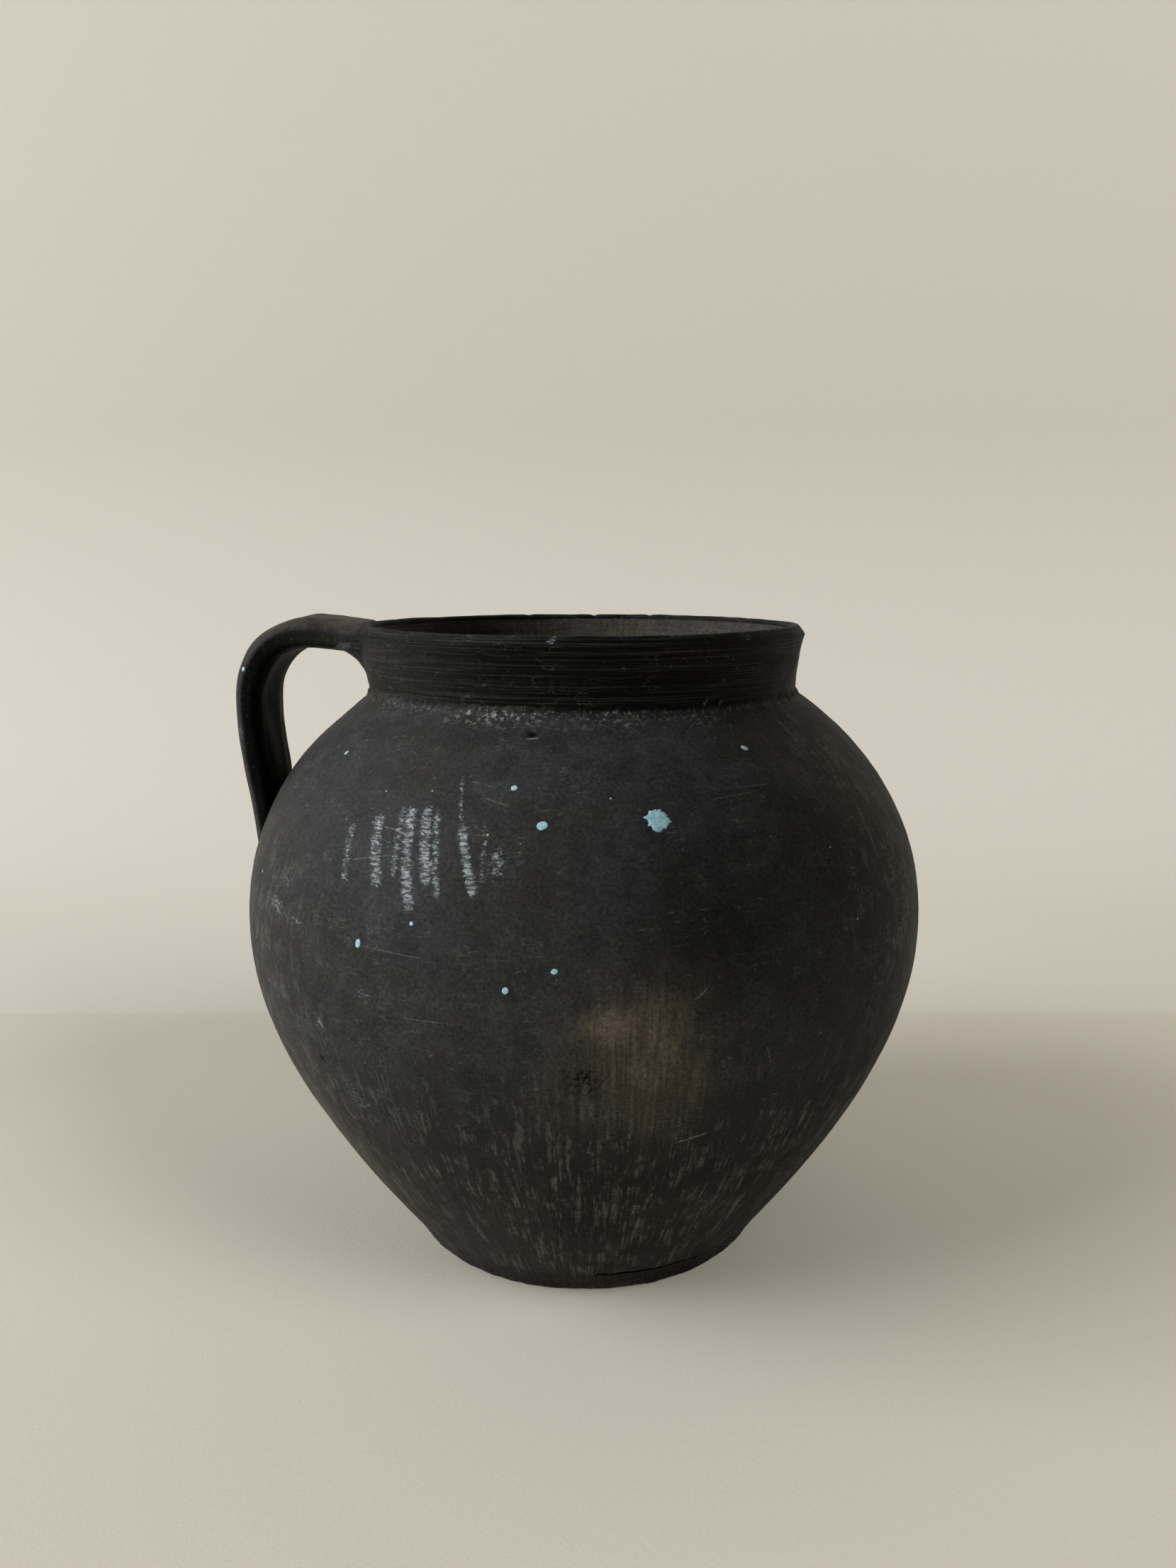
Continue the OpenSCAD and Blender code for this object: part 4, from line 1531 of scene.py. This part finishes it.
@dataclass
class Handle(SubAssembly):
    """The strap handle, the clay pressed under its root and the clay smeared round its landing."""

    bedded: float = 4.5
    dip: float = 2.8
    section_power: float = 0.5
    near_power: float = 0.76
    roll_r: float = 88.0
    roll_drop: float = 2.4
    end_depth: float = 3.2
    span: float = 52.0
    root_wad: float = 13.5
    root_wad_share: float = 0.61
    land_drop: float = 2.0
    land_wad_r: float = 23.0
    land_wad_h: float = 1.6
    spokes: int = 96
    stations: int = 190

    def __post_init__(self) -> None:
        """Sets out the strap's middle line from the CAD strap's box."""
        p, skin = self.skin.profile, self.skin
        low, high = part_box("strap_handle")
        self.root_t, self.hang_t = 12.6, 11.5
        self.root_w, self.land_w = (high.y - low.y) / MM, 34.0
        self.reach = -low.x / MM - self.hang_t / 2 + 0.7
        self.top_z = high.z / MM - self.root_t / 2
        self.land_z = p.body([1.33])[0][0, 1] - self.land_drop
        peak = mix(p.neck_top_r, self.reach, 0.45)
        hang_z = mix(self.top_z, self.land_z, 0.34)
        end = (float(skin.radius(self.land_z)) - self.bedded, self.land_z - 3)
        self.lines = (
            [(p.neck_top_r - self.bedded, self.top_z - self.dip),
             (mix(p.neck_top_r, self.reach, 0.1), self.top_z - self.dip * 0.43),
             (mix(p.neck_top_r, self.reach, 0.3), self.top_z), (peak, self.top_z)],
            [(peak, self.top_z), (mix(p.neck_top_r, self.reach, 0.75), self.top_z),
             (self.reach - 0.3, mix(self.top_z, self.land_z, 0.14)), (self.reach, hang_z)],
            [(self.reach, hang_z), (self.reach + 0.2, mix(hang_z, self.land_z, 0.3)),
             (mix(end[0], self.reach, 0.5), mix(hang_z, self.land_z, 0.62)), end],
        )

    def middle(self, u: np.ndarray) -> tuple[np.ndarray, np.ndarray]:
        """The strap's middle line, where u runs from 0 at the neck to 3 in the shoulder.

        Args:
            u: Places along it.

        Returns:
            Points and directions, each (n, 2) as distance from the axis and height.
        """
        part = np.clip(np.floor(u), 0, 2)
        at, way = np.zeros((len(u), 2)), np.zeros((len(u), 2))
        for k, line in enumerate(self.lines):
            here = part == k
            at[here], way[here] = bezier(line, u[here] - k), bezier_way(line, u[here] - k)
        return at, way

    def surface(self, u: np.ndarray, angle: np.ndarray, lift: float | np.ndarray = 0.0) -> np.ndarray:
        """Points of the strap's skin.

        Args:
            u: Places along the strap.
            angle: Places round its section in radians: 0 is its far edge and a quarter turn its outer face.
            lift: How far out of the skin.

        Returns:
            Points, shape (n, 3).
        """
        at, way = self.middle(u)
        c, s = np.cos(angle), np.sin(angle)
        full = np.where((s > 0) & (c < 0), self.near_power, self.section_power)
        half_w = mix(self.root_w, self.land_w, u / 3) / 2
        waist = 0.04 * ease(u, 1.2, 1.8) * ease(u, 2.6, 2.1)
        half_w = half_w * (1 + 0.13 * ease(u, 0.55, 0.0) + 0.26 * ease(u, 2.62, 3.0) - waist)
        half_t = mix(self.root_t, self.hang_t, np.clip(u - 1, 0, 1)) / 2 * (1 - 0.10 * ease(u, 2.5, 3.0))
        noise = self.skin.hand.noise.at
        across = half_w * np.sign(c) * np.abs(c) ** full
        out = half_t * np.sign(s) * np.abs(s) ** full
        face = np.clip(s, 0, 1)
        pulled = 0.34 * noise(across / 5.5, u * 1.6, 4.0) + 0.16 * noise(across / 2.0, u * 2.4, 9.0)
        lumpy = (
            0.34 * noise(across / 11, u * 4, s * 1.5 + 3)
            + 0.10 * noise(across / 3.5, u * 7, s * 2)
            + 0.04 * noise(across / 1.6, u * 14, s * 4)
        )
        hollow = -0.55 * face * np.exp(-((across / 7.5) ** 2)) * ease(u, 0.3, 0.9)
        grown = pulled * (0.4 + 0.6 * np.abs(s)) + lumpy + hollow
        edge = np.sign(c)
        ragged = (0.28 * noise(u * 4, edge * 7.0, 1.0) + 0.06 * noise(u * 16, edge * 3.0, s)) * np.abs(c) ** 2
        crease = 0.35 * np.exp(-(((angle - math.radians(172)) / 0.12) ** 2)) * ease(u, 0.5, 1.1) * ease(u, 2.9, 2.5)
        grown = grown + crease
        twisted = -0.092 * across * ease(u, 0.9, 1.6) * ease(u, 3.0, 2.5)
        total = out + s * (grown + lift) + twisted
        across = across + c * (ragged + lift + 0.5 * grown)
        bow = ease(u, 0.45, 0.0) * across**2 / (2 * self.skin.profile.neck_top_r)
        far = at[:, 0] + way[:, 1] * -total
        high = at[:, 1] + way[:, 0] * total
        return np.stack([-(far - bow), across, high], 1)

    def build(self) -> None:
        """Builds the three pieces."""
        self.build_strap()
        self.build_root_wad()
        self.build_landing_wad()

    def build_strap(self) -> None:
        """Builds the strap, its ends bedded in the clay of the neck and the shoulder."""
        p, skin = self.skin.profile, self.skin
        mesh = to_mesh(lofted(self.spokes, self.stations))
        station, spoke = numbers(mesh, "station"), numbers(mesh, "spoke")
        u = 3.0 * station / (self.stations - 1)
        angle = 2 * math.pi * spoke / self.spokes
        points = self.surface(u, angle)
        # over the lip the strap thins to a smear that rolls down the crest's inner edge
        x, y, z = points.T
        far = np.hypot(x, y)
        roll = np.clip((self.roll_r - far) / 3.6, 0, 1) ** 2 * self.roll_drop
        z = np.where(z > p.lip_z, z - roll, z)
        # the lower end stops inside the wall
        limit = skin.radius(z) - self.end_depth
        low = z < 200
        push = np.where(low & (far < limit), limit / np.maximum(far, 1), 1.0)
        x, y = x * push, y * push
        points = np.stack([x - z * skin.hand.lean, y, z], 1)
        says = self.marks.plain(len(u))
        face = np.clip(np.sin(angle), 0, 1)
        noise = self.marks.noise.at
        worn = 0.5 + 0.5 * noise(y / 8, u * 5, z / 9)
        says["browned_and_warm_light"] = (0.75 * face * ease(u, 2.0, 0.7) + 0.12 * face) * (0.5 + 0.8 * worn)
        # painted warm bounce light: the far edge of the inner face is browned where warm light from behind reaches it
        painted_far_edge_bounce = np.clip(np.cos(angle), 0, 1) * np.clip(-np.sin(angle), 0, 1)
        says["browned_and_warm_light"] += 0.3 * painted_far_edge_bounce * ease(u, 1.3, 1.9)
        says["scraped"] = 0.75 * face * (0.4 + 0.8 * worn)
        says["rubbed"] = 0.34 * ease(worn, 0.55, 0.9) * (0.4 + 0.6 * face)
        says["rubbed"] = says["rubbed"] + 0.30 * ease(np.abs(np.cos(angle)), 0.75, 0.98) * worn
        says["pitted"] = 0.12 * worn
        # painted shade: the near edge and the inner face turned to the jar, which the window light doesn't reach, are
        # darkened, and the near edge loses its brown and rubbed marks
        near = ease(-np.cos(angle), 0.30, 0.60) * ease(np.sin(angle), 0.16, 0.02)
        painted_underside_shade = 0.5 * ease(-np.sin(angle), 0.2, 0.8)
        says["smoked"] = np.clip(near * (0.25 + 0.71 * ease(u, 0.9, 1.5)) + painted_underside_shade, 0, 0.96)
        says["browned_and_warm_light"] *= 1 - 0.8 * near
        says["rubbed"] *= 1 - 0.8 * near
        says["wrap"] = np.stack([y, 30 * np.sin(angle), u * self.span], 1)
        piece = finished("strap_handle_skin", mesh, points, says, reverse=self.inside_out(mesh, points))
        self.pieces.append((piece, Slot.SMOKED))

    @staticmethod
    def inside_out(mesh: bpy.types.Mesh, points: np.ndarray) -> bool:
        """Whether a closed mesh's faces point inwards once its points are placed.

        Args:
            mesh: The mesh, for its faces.
            points: Where its vertices are.

        Returns:
            True if the volume inside comes out negative.
        """
        mesh.calc_loop_triangles()
        corners = np.zeros(len(mesh.loop_triangles) * 3, np.int32)
        mesh.loop_triangles.foreach_get("vertices", corners)
        a, b, c = (points[corners[k::3]] for k in range(3))
        return float(np.einsum("ij,ij", a, np.cross(b, c))) < 0

    def build_root_wad(self) -> None:
        """Builds the clay pressed into the corner under the strap's root."""
        skin = self.skin
        p = skin.profile
        curve = bezier(p.neck, np.linspace(0, 1, 60))
        under = self.top_z - self.root_t / 2
        count, spokes = 46, 30
        mesh = to_mesh(lofted(spokes, count))
        station, spoke = numbers(mesh, "station"), numbers(mesh, "spoke")
        share = 2.0 * station / (count - 1) - 1
        half_w = self.root_w * self.root_wad_share
        y = half_w * share
        size = self.root_wad * (1 - np.abs(share) ** 3.2) ** 0.6 + 0.2
        hidden = 6
        t = np.clip((spoke - hidden) / (spokes - 1 - hidden), 0, 1)
        # the shown face runs from the neck, low down, to the strap's underside
        one_z = under - size
        one_r = np.interp(one_z, curve[:, 1], curve[:, 0])
        corner_r = np.interp(under, curve[:, 1], curve[:, 0])
        pull = 0.55
        b0r, b0z = one_r, one_z
        b1r, b1z = mix(one_r, corner_r, pull), mix(one_z, under, pull)
        b3r, b3z = corner_r + size, under + 0.3
        b2r, b2z = mix(b3r, corner_r, pull), mix(b3z, under, pull)
        weights = ((1 - t) ** 3, 3 * (1 - t) ** 2 * t, 3 * (1 - t) * t * t, t**3)
        r = sum(w * b for w, b in zip(weights, (b0r, b1r, b2r, b3r)))
        z = sum(w * b for w, b in zip(weights, (b0z, b1z, b2z, b3z)))
        back = spoke < hidden
        step = spoke / hidden
        r = np.where(back, mix(corner_r + size, one_r, step) - 2.5 * np.sin(math.pi * np.clip(step, 0, 1)), r)
        z = np.where(back, mix(under + 3.0, one_z, step) + 1.5 * np.sin(math.pi * np.clip(step, 0, 1)), z)
        r = np.maximum(r, corner_r - 2.2)
        lump = 0.30 * skin.hand.noise.at(y / 4, z / 3, 2.0) + 0.15 * skin.hand.noise.at(y / 1.7, z / 1.5, 6.0)
        r = r + np.where(back, 0, lump)
        x = -np.sqrt(np.maximum(r * r - y * y, 1))
        points = np.stack([x - z * skin.hand.lean, y, z], 1)
        says = self.marks.plain(len(y))
        says["pitted"] = np.full(len(y), 0.4)
        says["crust"] = np.full(len(y), 0.12)
        says["wrap"] = np.stack([y, r, z], 1)
        piece = finished("strap_root_wad_skin", mesh, points, says, reverse=self.inside_out(mesh, points))
        self.pieces.append((piece, Slot.BLACK))

    def build_landing_wad(self) -> None:
        """Builds the clay smeared round the strap's landing."""
        skin = self.skin
        radii = np.linspace(0, 1, 26)
        top = np.stack([self.land_wad_r * radii, (1 - radii**2) ** 1.3], 1)
        low = np.stack([self.land_wad_r * radii[::-1], np.full(26, -1.0)], 1)
        section = Rows.of(np.concatenate([top, low]), np.array([0.0, 1.0]), 0, Side.OUTSIDE)
        mesh = to_mesh(turned(section, 96, closed=False))
        row = numbers(mesh, "row")
        a, b, h = vertices(mesh).T
        noise = skin.hand.noise.at
        ragged = 1 + 0.10 * noise(np.degrees(np.arctan2(b, a)) / 24, 2.0, 2.0)
        a, b = a * ragged * 0.92, b * ragged * 1.02
        shown = row < 26
        inner = np.clip(1 - np.hypot(a, b) / self.land_wad_r, 0, 1)
        lumps = self.land_wad_h * h + 0.7 * inner * noise(a / 5, b / 7, 1.0)
        lumps = lumps + 0.25 * inner * noise(a / 1.8, b / 2.5, 4.0)
        lift = np.where(shown, lumps - 0.25, -1.6)
        middle = skin.climb_of_height(self.land_z + 4)
        turn = -90 + np.degrees(a / skin.radius(self.land_z))
        points = skin.lay(turn, middle + b, lift)
        z = points[:, 2]
        r = skin.radius(z)
        says = self.marks.outside(turn, r, z)
        says["rubbed"] = np.maximum(says["rubbed"], 0.35 * inner)
        t = np.radians(turn)
        says["wrap"] = np.stack([WRAP_R * np.sin(t), -WRAP_R * np.cos(t), middle + b], 1)
        piece = finished("strap_landing_wad_skin", mesh, points, says, reverse=self.inside_out(mesh, points))
        self.pieces.append((piece, Slot.BLACK))


@dataclass(frozen=True)
class Drop:
    """One dried drop of paint: where it is, how long and wide, how it lies and how ragged its edge is."""

    turn: float
    z: float
    long: float
    wide: float
    tilt: float = 0.0
    ragged: float = 0.06
    cream: float = 0.0


DROPS = (
    Drop(11.9, 193.4, 8.4, 7.6, -20, 0.15),
    Drop(-6.2, 192.0, 3.7, 3.0, 20, 0.07),
    Drop(-11.6, 202.3, 2.4, 2.0, 10, 0.08, 0.12),
    Drop(33.5, 211.7, 2.9, 1.9, -40, 0.06),
    Drop(-24.3, 161.0, 1.5, 1.4),
    Drop(-33.1, 151.8, 3.1, 2.3, 75, 0.05),
    Drop(-3.8, 149.8, 2.4, 1.9, 15, 0.12),
    Drop(-10.3, 143.2, 2.4, 2.1, 60, 0.08),
    Drop(-63.1, 162.1, 1.3, 0.6, 80, 0.05, 0.5),
    Drop(-53.6, 206.7, 2.1, 1.4, 60, 0.05, 0.4),
    Drop(4.6, 199.7, 0.8, 0.6, 0, 0.1, 0.2),
    Drop(-14.5, 188.8, 0.9, 0.7, 0, 0.1, 1.0),
    Drop(-35.7, 198.3, 0.7, 0.6, 0, 0.1, 0.6),
    Drop(-26.2, 199.9, 0.6, 0.6, 0, 0.1, 0.4),
    Drop(41.6, 179.4, 0.7, 0.5, 0, 0.1, 0.4),
    Drop(43.9, 155.1, 0.7, 0.6, 0, 0.1, 0.8),
)


@dataclass
class PaintSpatter(SubAssembly):
    """The dried drops of paint on the shoulder, the belly and the handle."""

    thickness: float = 0.34
    rings: int = 9
    handle_drop: Drop = Drop(-90, 231.4, 2.3, 1.9, 0, 0.06)

    def blob(self, drop: Drop, noise: Lattice) -> tuple[bmesh.types.BMesh, list[np.ndarray]]:
        """Shapes one drop, flat.

        Args:
            drop: Its sizes.
            noise: What makes its edge ragged.

        Returns:
            Its mesh, and for each vertex its places across and up, its lift and its share of the radius.
        """
        shares = np.concatenate([[0], np.linspace(0.25, 1, self.rings)])
        high = (1 - shares**5) ** 0.5
        top = np.stack([shares, high + 1], 1)
        low = np.stack([shares[::-1], np.zeros(len(shares))], 1)
        rows = Rows.of(np.concatenate([top, low]), np.array([0.0, 1.0]), 0, Side.OUTSIDE)
        bm = turned(rows, 80 if drop.long > 4 else 32, closed=False)
        bm.verts.ensure_lookup_table()
        spots = np.array([v.co for v in bm.verts])
        number = bm.verts.layers.int["row"]
        shown = np.array([v[number] < len(shares) for v in bm.verts])
        share = np.hypot(spots[:, 0], spots[:, 1])
        angle = np.arctan2(spots[:, 1], spots[:, 0])
        edge = 1 + drop.ragged * (
            0.9 * noise.at(np.cos(angle) * 1.6 + drop.turn, np.sin(angle) * 1.6 + drop.z, 0.5)
            + noise.at(np.cos(angle) * 3.6 + drop.turn, np.sin(angle) * 3.6 + drop.z, 3.5)
            + 1.7 * (drop.long > 4) * noise.at(np.cos(angle) * 6.5, np.sin(angle) * 6.5, drop.z)
        )
        radius = share * edge
        a, b = radius * np.cos(angle) * drop.long / 2, radius * np.sin(angle) * drop.wide / 2
        c, s = math.cos(math.radians(drop.tilt)), math.sin(math.radians(drop.tilt))
        thick = self.thickness * min(1.0, 0.45 + drop.long / 8)
        bulge = 0.06 * noise.at(a * 1.3 + 3, b * 1.3, 2.0) * (drop.long > 4)
        lift = np.where(shown, thick * (spots[:, 2] - 1) + bulge * (1 - share) - 0.02, -0.35)
        return bm, [a * c - b * s, a * s + b * c, lift, share]

    def build(self, handle: Handle) -> None:
        """Builds every drop as one piece.

        Args:
            handle: The handle, which one drop lies on.
        """
        skin = self.skin
        noise = self.marks.noise
        whole = bmesh.new()
        points, rims, creams = [], [], []
        for drop in (*DROPS, self.handle_drop):
            bm, (a, b, lift, share) = self.blob(drop, noise)
            if drop is self.handle_drop:
                spot_u = 1.72 - b / handle.span
                spot_angle = math.radians(166) + a / 9.0
                laid = handle.surface(spot_u, spot_angle, lift)
                laid[:, 0] -= laid[:, 2] * skin.hand.lean
            else:
                turn = drop.turn + np.degrees(a / skin.radius(drop.z))
                laid = skin.lay(turn, skin.climb_of_height(drop.z) + b, lift)
            mesh = to_mesh(bm)
            whole.from_mesh(mesh)
            bpy.data.meshes.remove(mesh)
            points.append(laid)
            grimy = 0.15 if drop.ragged > 0.1 else 0.0
            rims.append(0.75 * ease(share, 0.86, 1.0) + grimy * noise.at(a * 2, b * 2, 1.0))
            creams.append(np.full(len(laid), drop.cream))
        mesh = to_mesh(whole)
        mesh.attributes.remove(mesh.attributes["row"])
        points = np.concatenate(points)
        says = {"rim": np.clip(np.concatenate(rims), 0, 1), "cream": np.concatenate(creams)}
        piece = finished("paint_drops_skin", mesh, points, says, reverse=Handle.inside_out(mesh, points))
        self.pieces.append((piece, Slot.PAINT))


# -------------------------------------------------------------------- studio


@dataclass
class Studio:
    """The floor, the backdrop, the lights and the camera."""

    floor_edge: float = 212.0
    sweep_from: float = 420.0
    sweep_r: float = 420.0
    half_w: float = 3200.0
    front: float = -2600.0
    wall_top: float = 2600.0
    camera_at: tuple[float, float, float] = (0.0, -481.6, 273.2)
    camera_down: float = 10.535
    camera_turn: float = -0.097
    lens: float = 27.1
    covers: list[bpy.types.Object] = field(default_factory=list)

    def build(self) -> None:
        """Builds and lights the studio."""
        self.build_floor()
        self.build_backdrop()
        self.build_lights()
        self.build_camera()

    def sheet(self, name: str, line: np.ndarray, finish: StudioPaper) -> None:
        """A covering of constant section, as wide as the studio.

        Args:
            name: Its name.
            line: Its section as depth and height, shape (n, 2).
            finish: Its finish.
        """
        bm = bmesh.new()
        spots = [bm.verts.new((-self.half_w * MM, y * MM, z * MM)) for y, z in line]
        edges = [bm.edges.new(pair) for pair in zip(spots, spots[1:])]
        made = bmesh.ops.extrude_edge_only(bm, edges=edges)["geom"]
        new = [v for v in made if isinstance(v, bmesh.types.BMVert)]
        bmesh.ops.translate(bm, verts=new, vec=(2 * self.half_w * MM, 0, 0))
        bmesh.ops.recalc_face_normals(bm, faces=bm.faces)
        if sum(f.normal.z for f in bm.faces) < 0:
            bmesh.ops.reverse_faces(bm, faces=bm.faces)
        mesh = to_mesh(bm)
        mesh.name = name
        mesh.shade_smooth()
        mesh.materials.append(finish.build())
        covering = bpy.data.objects.new(name, mesh)
        bpy.context.scene.collection.objects.link(covering)
        self.covers.append(covering)

    def build_floor(self) -> None:
        """The pale floor, which ends a little way behind the jar."""
        line = np.array([[self.front, 0.0], [self.floor_edge, 0.0]])
        self.sheet("floor", line, StudioPaper("matt_floor_covering", "#c4bfb3", "#b9b4a8"))

    def build_backdrop(self) -> None:
        """The backdrop: it lies flat behind the floor and then sweeps up."""
        turns = np.radians(np.linspace(0, 90, 24))
        bend = np.stack([self.sweep_from + self.sweep_r * np.sin(turns), self.sweep_r * (1 - np.cos(turns)) - 0.5], 1)
        line = np.concatenate([[[self.floor_edge, -0.5]], bend, [[self.sweep_from + self.sweep_r, self.wall_top]]])
        self.sheet("backdrop", line, StudioPaper("matt_backdrop_paper", "#c6c2b8", "#c1bdb3"))

    def build_lights(self) -> None:
        """A large soft window light from the left, a weak fill and a pale sky."""
        lamps = (
            ("window", (-3000, -900, 2050), (0, 0, 120), 2400, 150.0, (0.985, 0.99, 1.0), False),
            ("backdrop_wash", (2000, -1500, 2000), (700, 600, 250), 1600, 62.0, (1.0, 0.985, 0.955), True),
        )
        covers = bpy.data.collections.new("coverings")
        for covering in self.covers:
            covers.objects.link(covering)
        for name, at, towards, size, power, colour, only_covers in lamps:
            data = bpy.data.lights.new(name, "AREA")
            data.size, data.energy, data.color = size * MM, power, colour
            lamp = bpy.data.objects.new(name, data)
            bpy.context.scene.collection.objects.link(lamp)
            if only_covers:
                lamp.light_linking.receiver_collection = covers
            way = np.array(towards, float) - at
            lamp.location = [c * MM for c in at]
            flat = math.hypot(way[0], way[1])
            lamp.rotation_euler = (math.atan2(flat, -way[2]), 0, math.atan2(way[1], way[0]) - math.pi / 2)
        world = bpy.data.worlds.new("studio_air")
        world.use_nodes = True
        sky = world.node_tree.nodes["Background"]
        sky.inputs["Color"].default_value = linear("#d8d4cb")
        sky.inputs["Strength"].default_value = 0.11
        bpy.context.scene.world = world
        bpy.context.scene.view_settings.view_transform = "Standard"

    def build_camera(self) -> None:
        """The camera, in front of the jar and a little above it."""
        data = bpy.data.cameras.new("camera")
        data.lens, data.sensor_width = self.lens, 36.0
        camera = bpy.data.objects.new("camera", data)
        camera.location = [c * MM for c in self.camera_at]
        camera.rotation_euler = (math.radians(90 - self.camera_down), 0, math.radians(self.camera_turn))
        bpy.context.scene.collection.objects.link(camera)
        bpy.context.scene.camera = camera


def main() -> None:
    """Builds the jar's pieces in order, then the studio."""
    logging.basicConfig(level=logging.INFO, format="%(name)s: %(message)s")
    profile = JarProfile.from_frame()
    hand = HandWork(profile)
    skin = JarSkin(profile, hand)
    marks = ClayMarks(profile)
    finishes = {
        Slot.BLACK: Earthenware("smoked_black_earthenware").build(),
        Slot.WORN: Earthenware("scraped_black_earthenware").build(),
        Slot.SMOKED: Earthenware("smoke_browned_earthenware").build(),
        Slot.PAINT: WallPaint().build(),
    }
    handle = Handle(skin, marks)
    groups = [Foot(skin, marks), Body(skin, marks), Neck(skin, marks), handle]
    for group in groups:
        group.build()
    spatter = PaintSpatter(skin, marks)
    spatter.build(handle)
    for group in (*groups, spatter):
        group.dress(finishes)
    Studio().build()


if __name__ == "__main__":
    main()
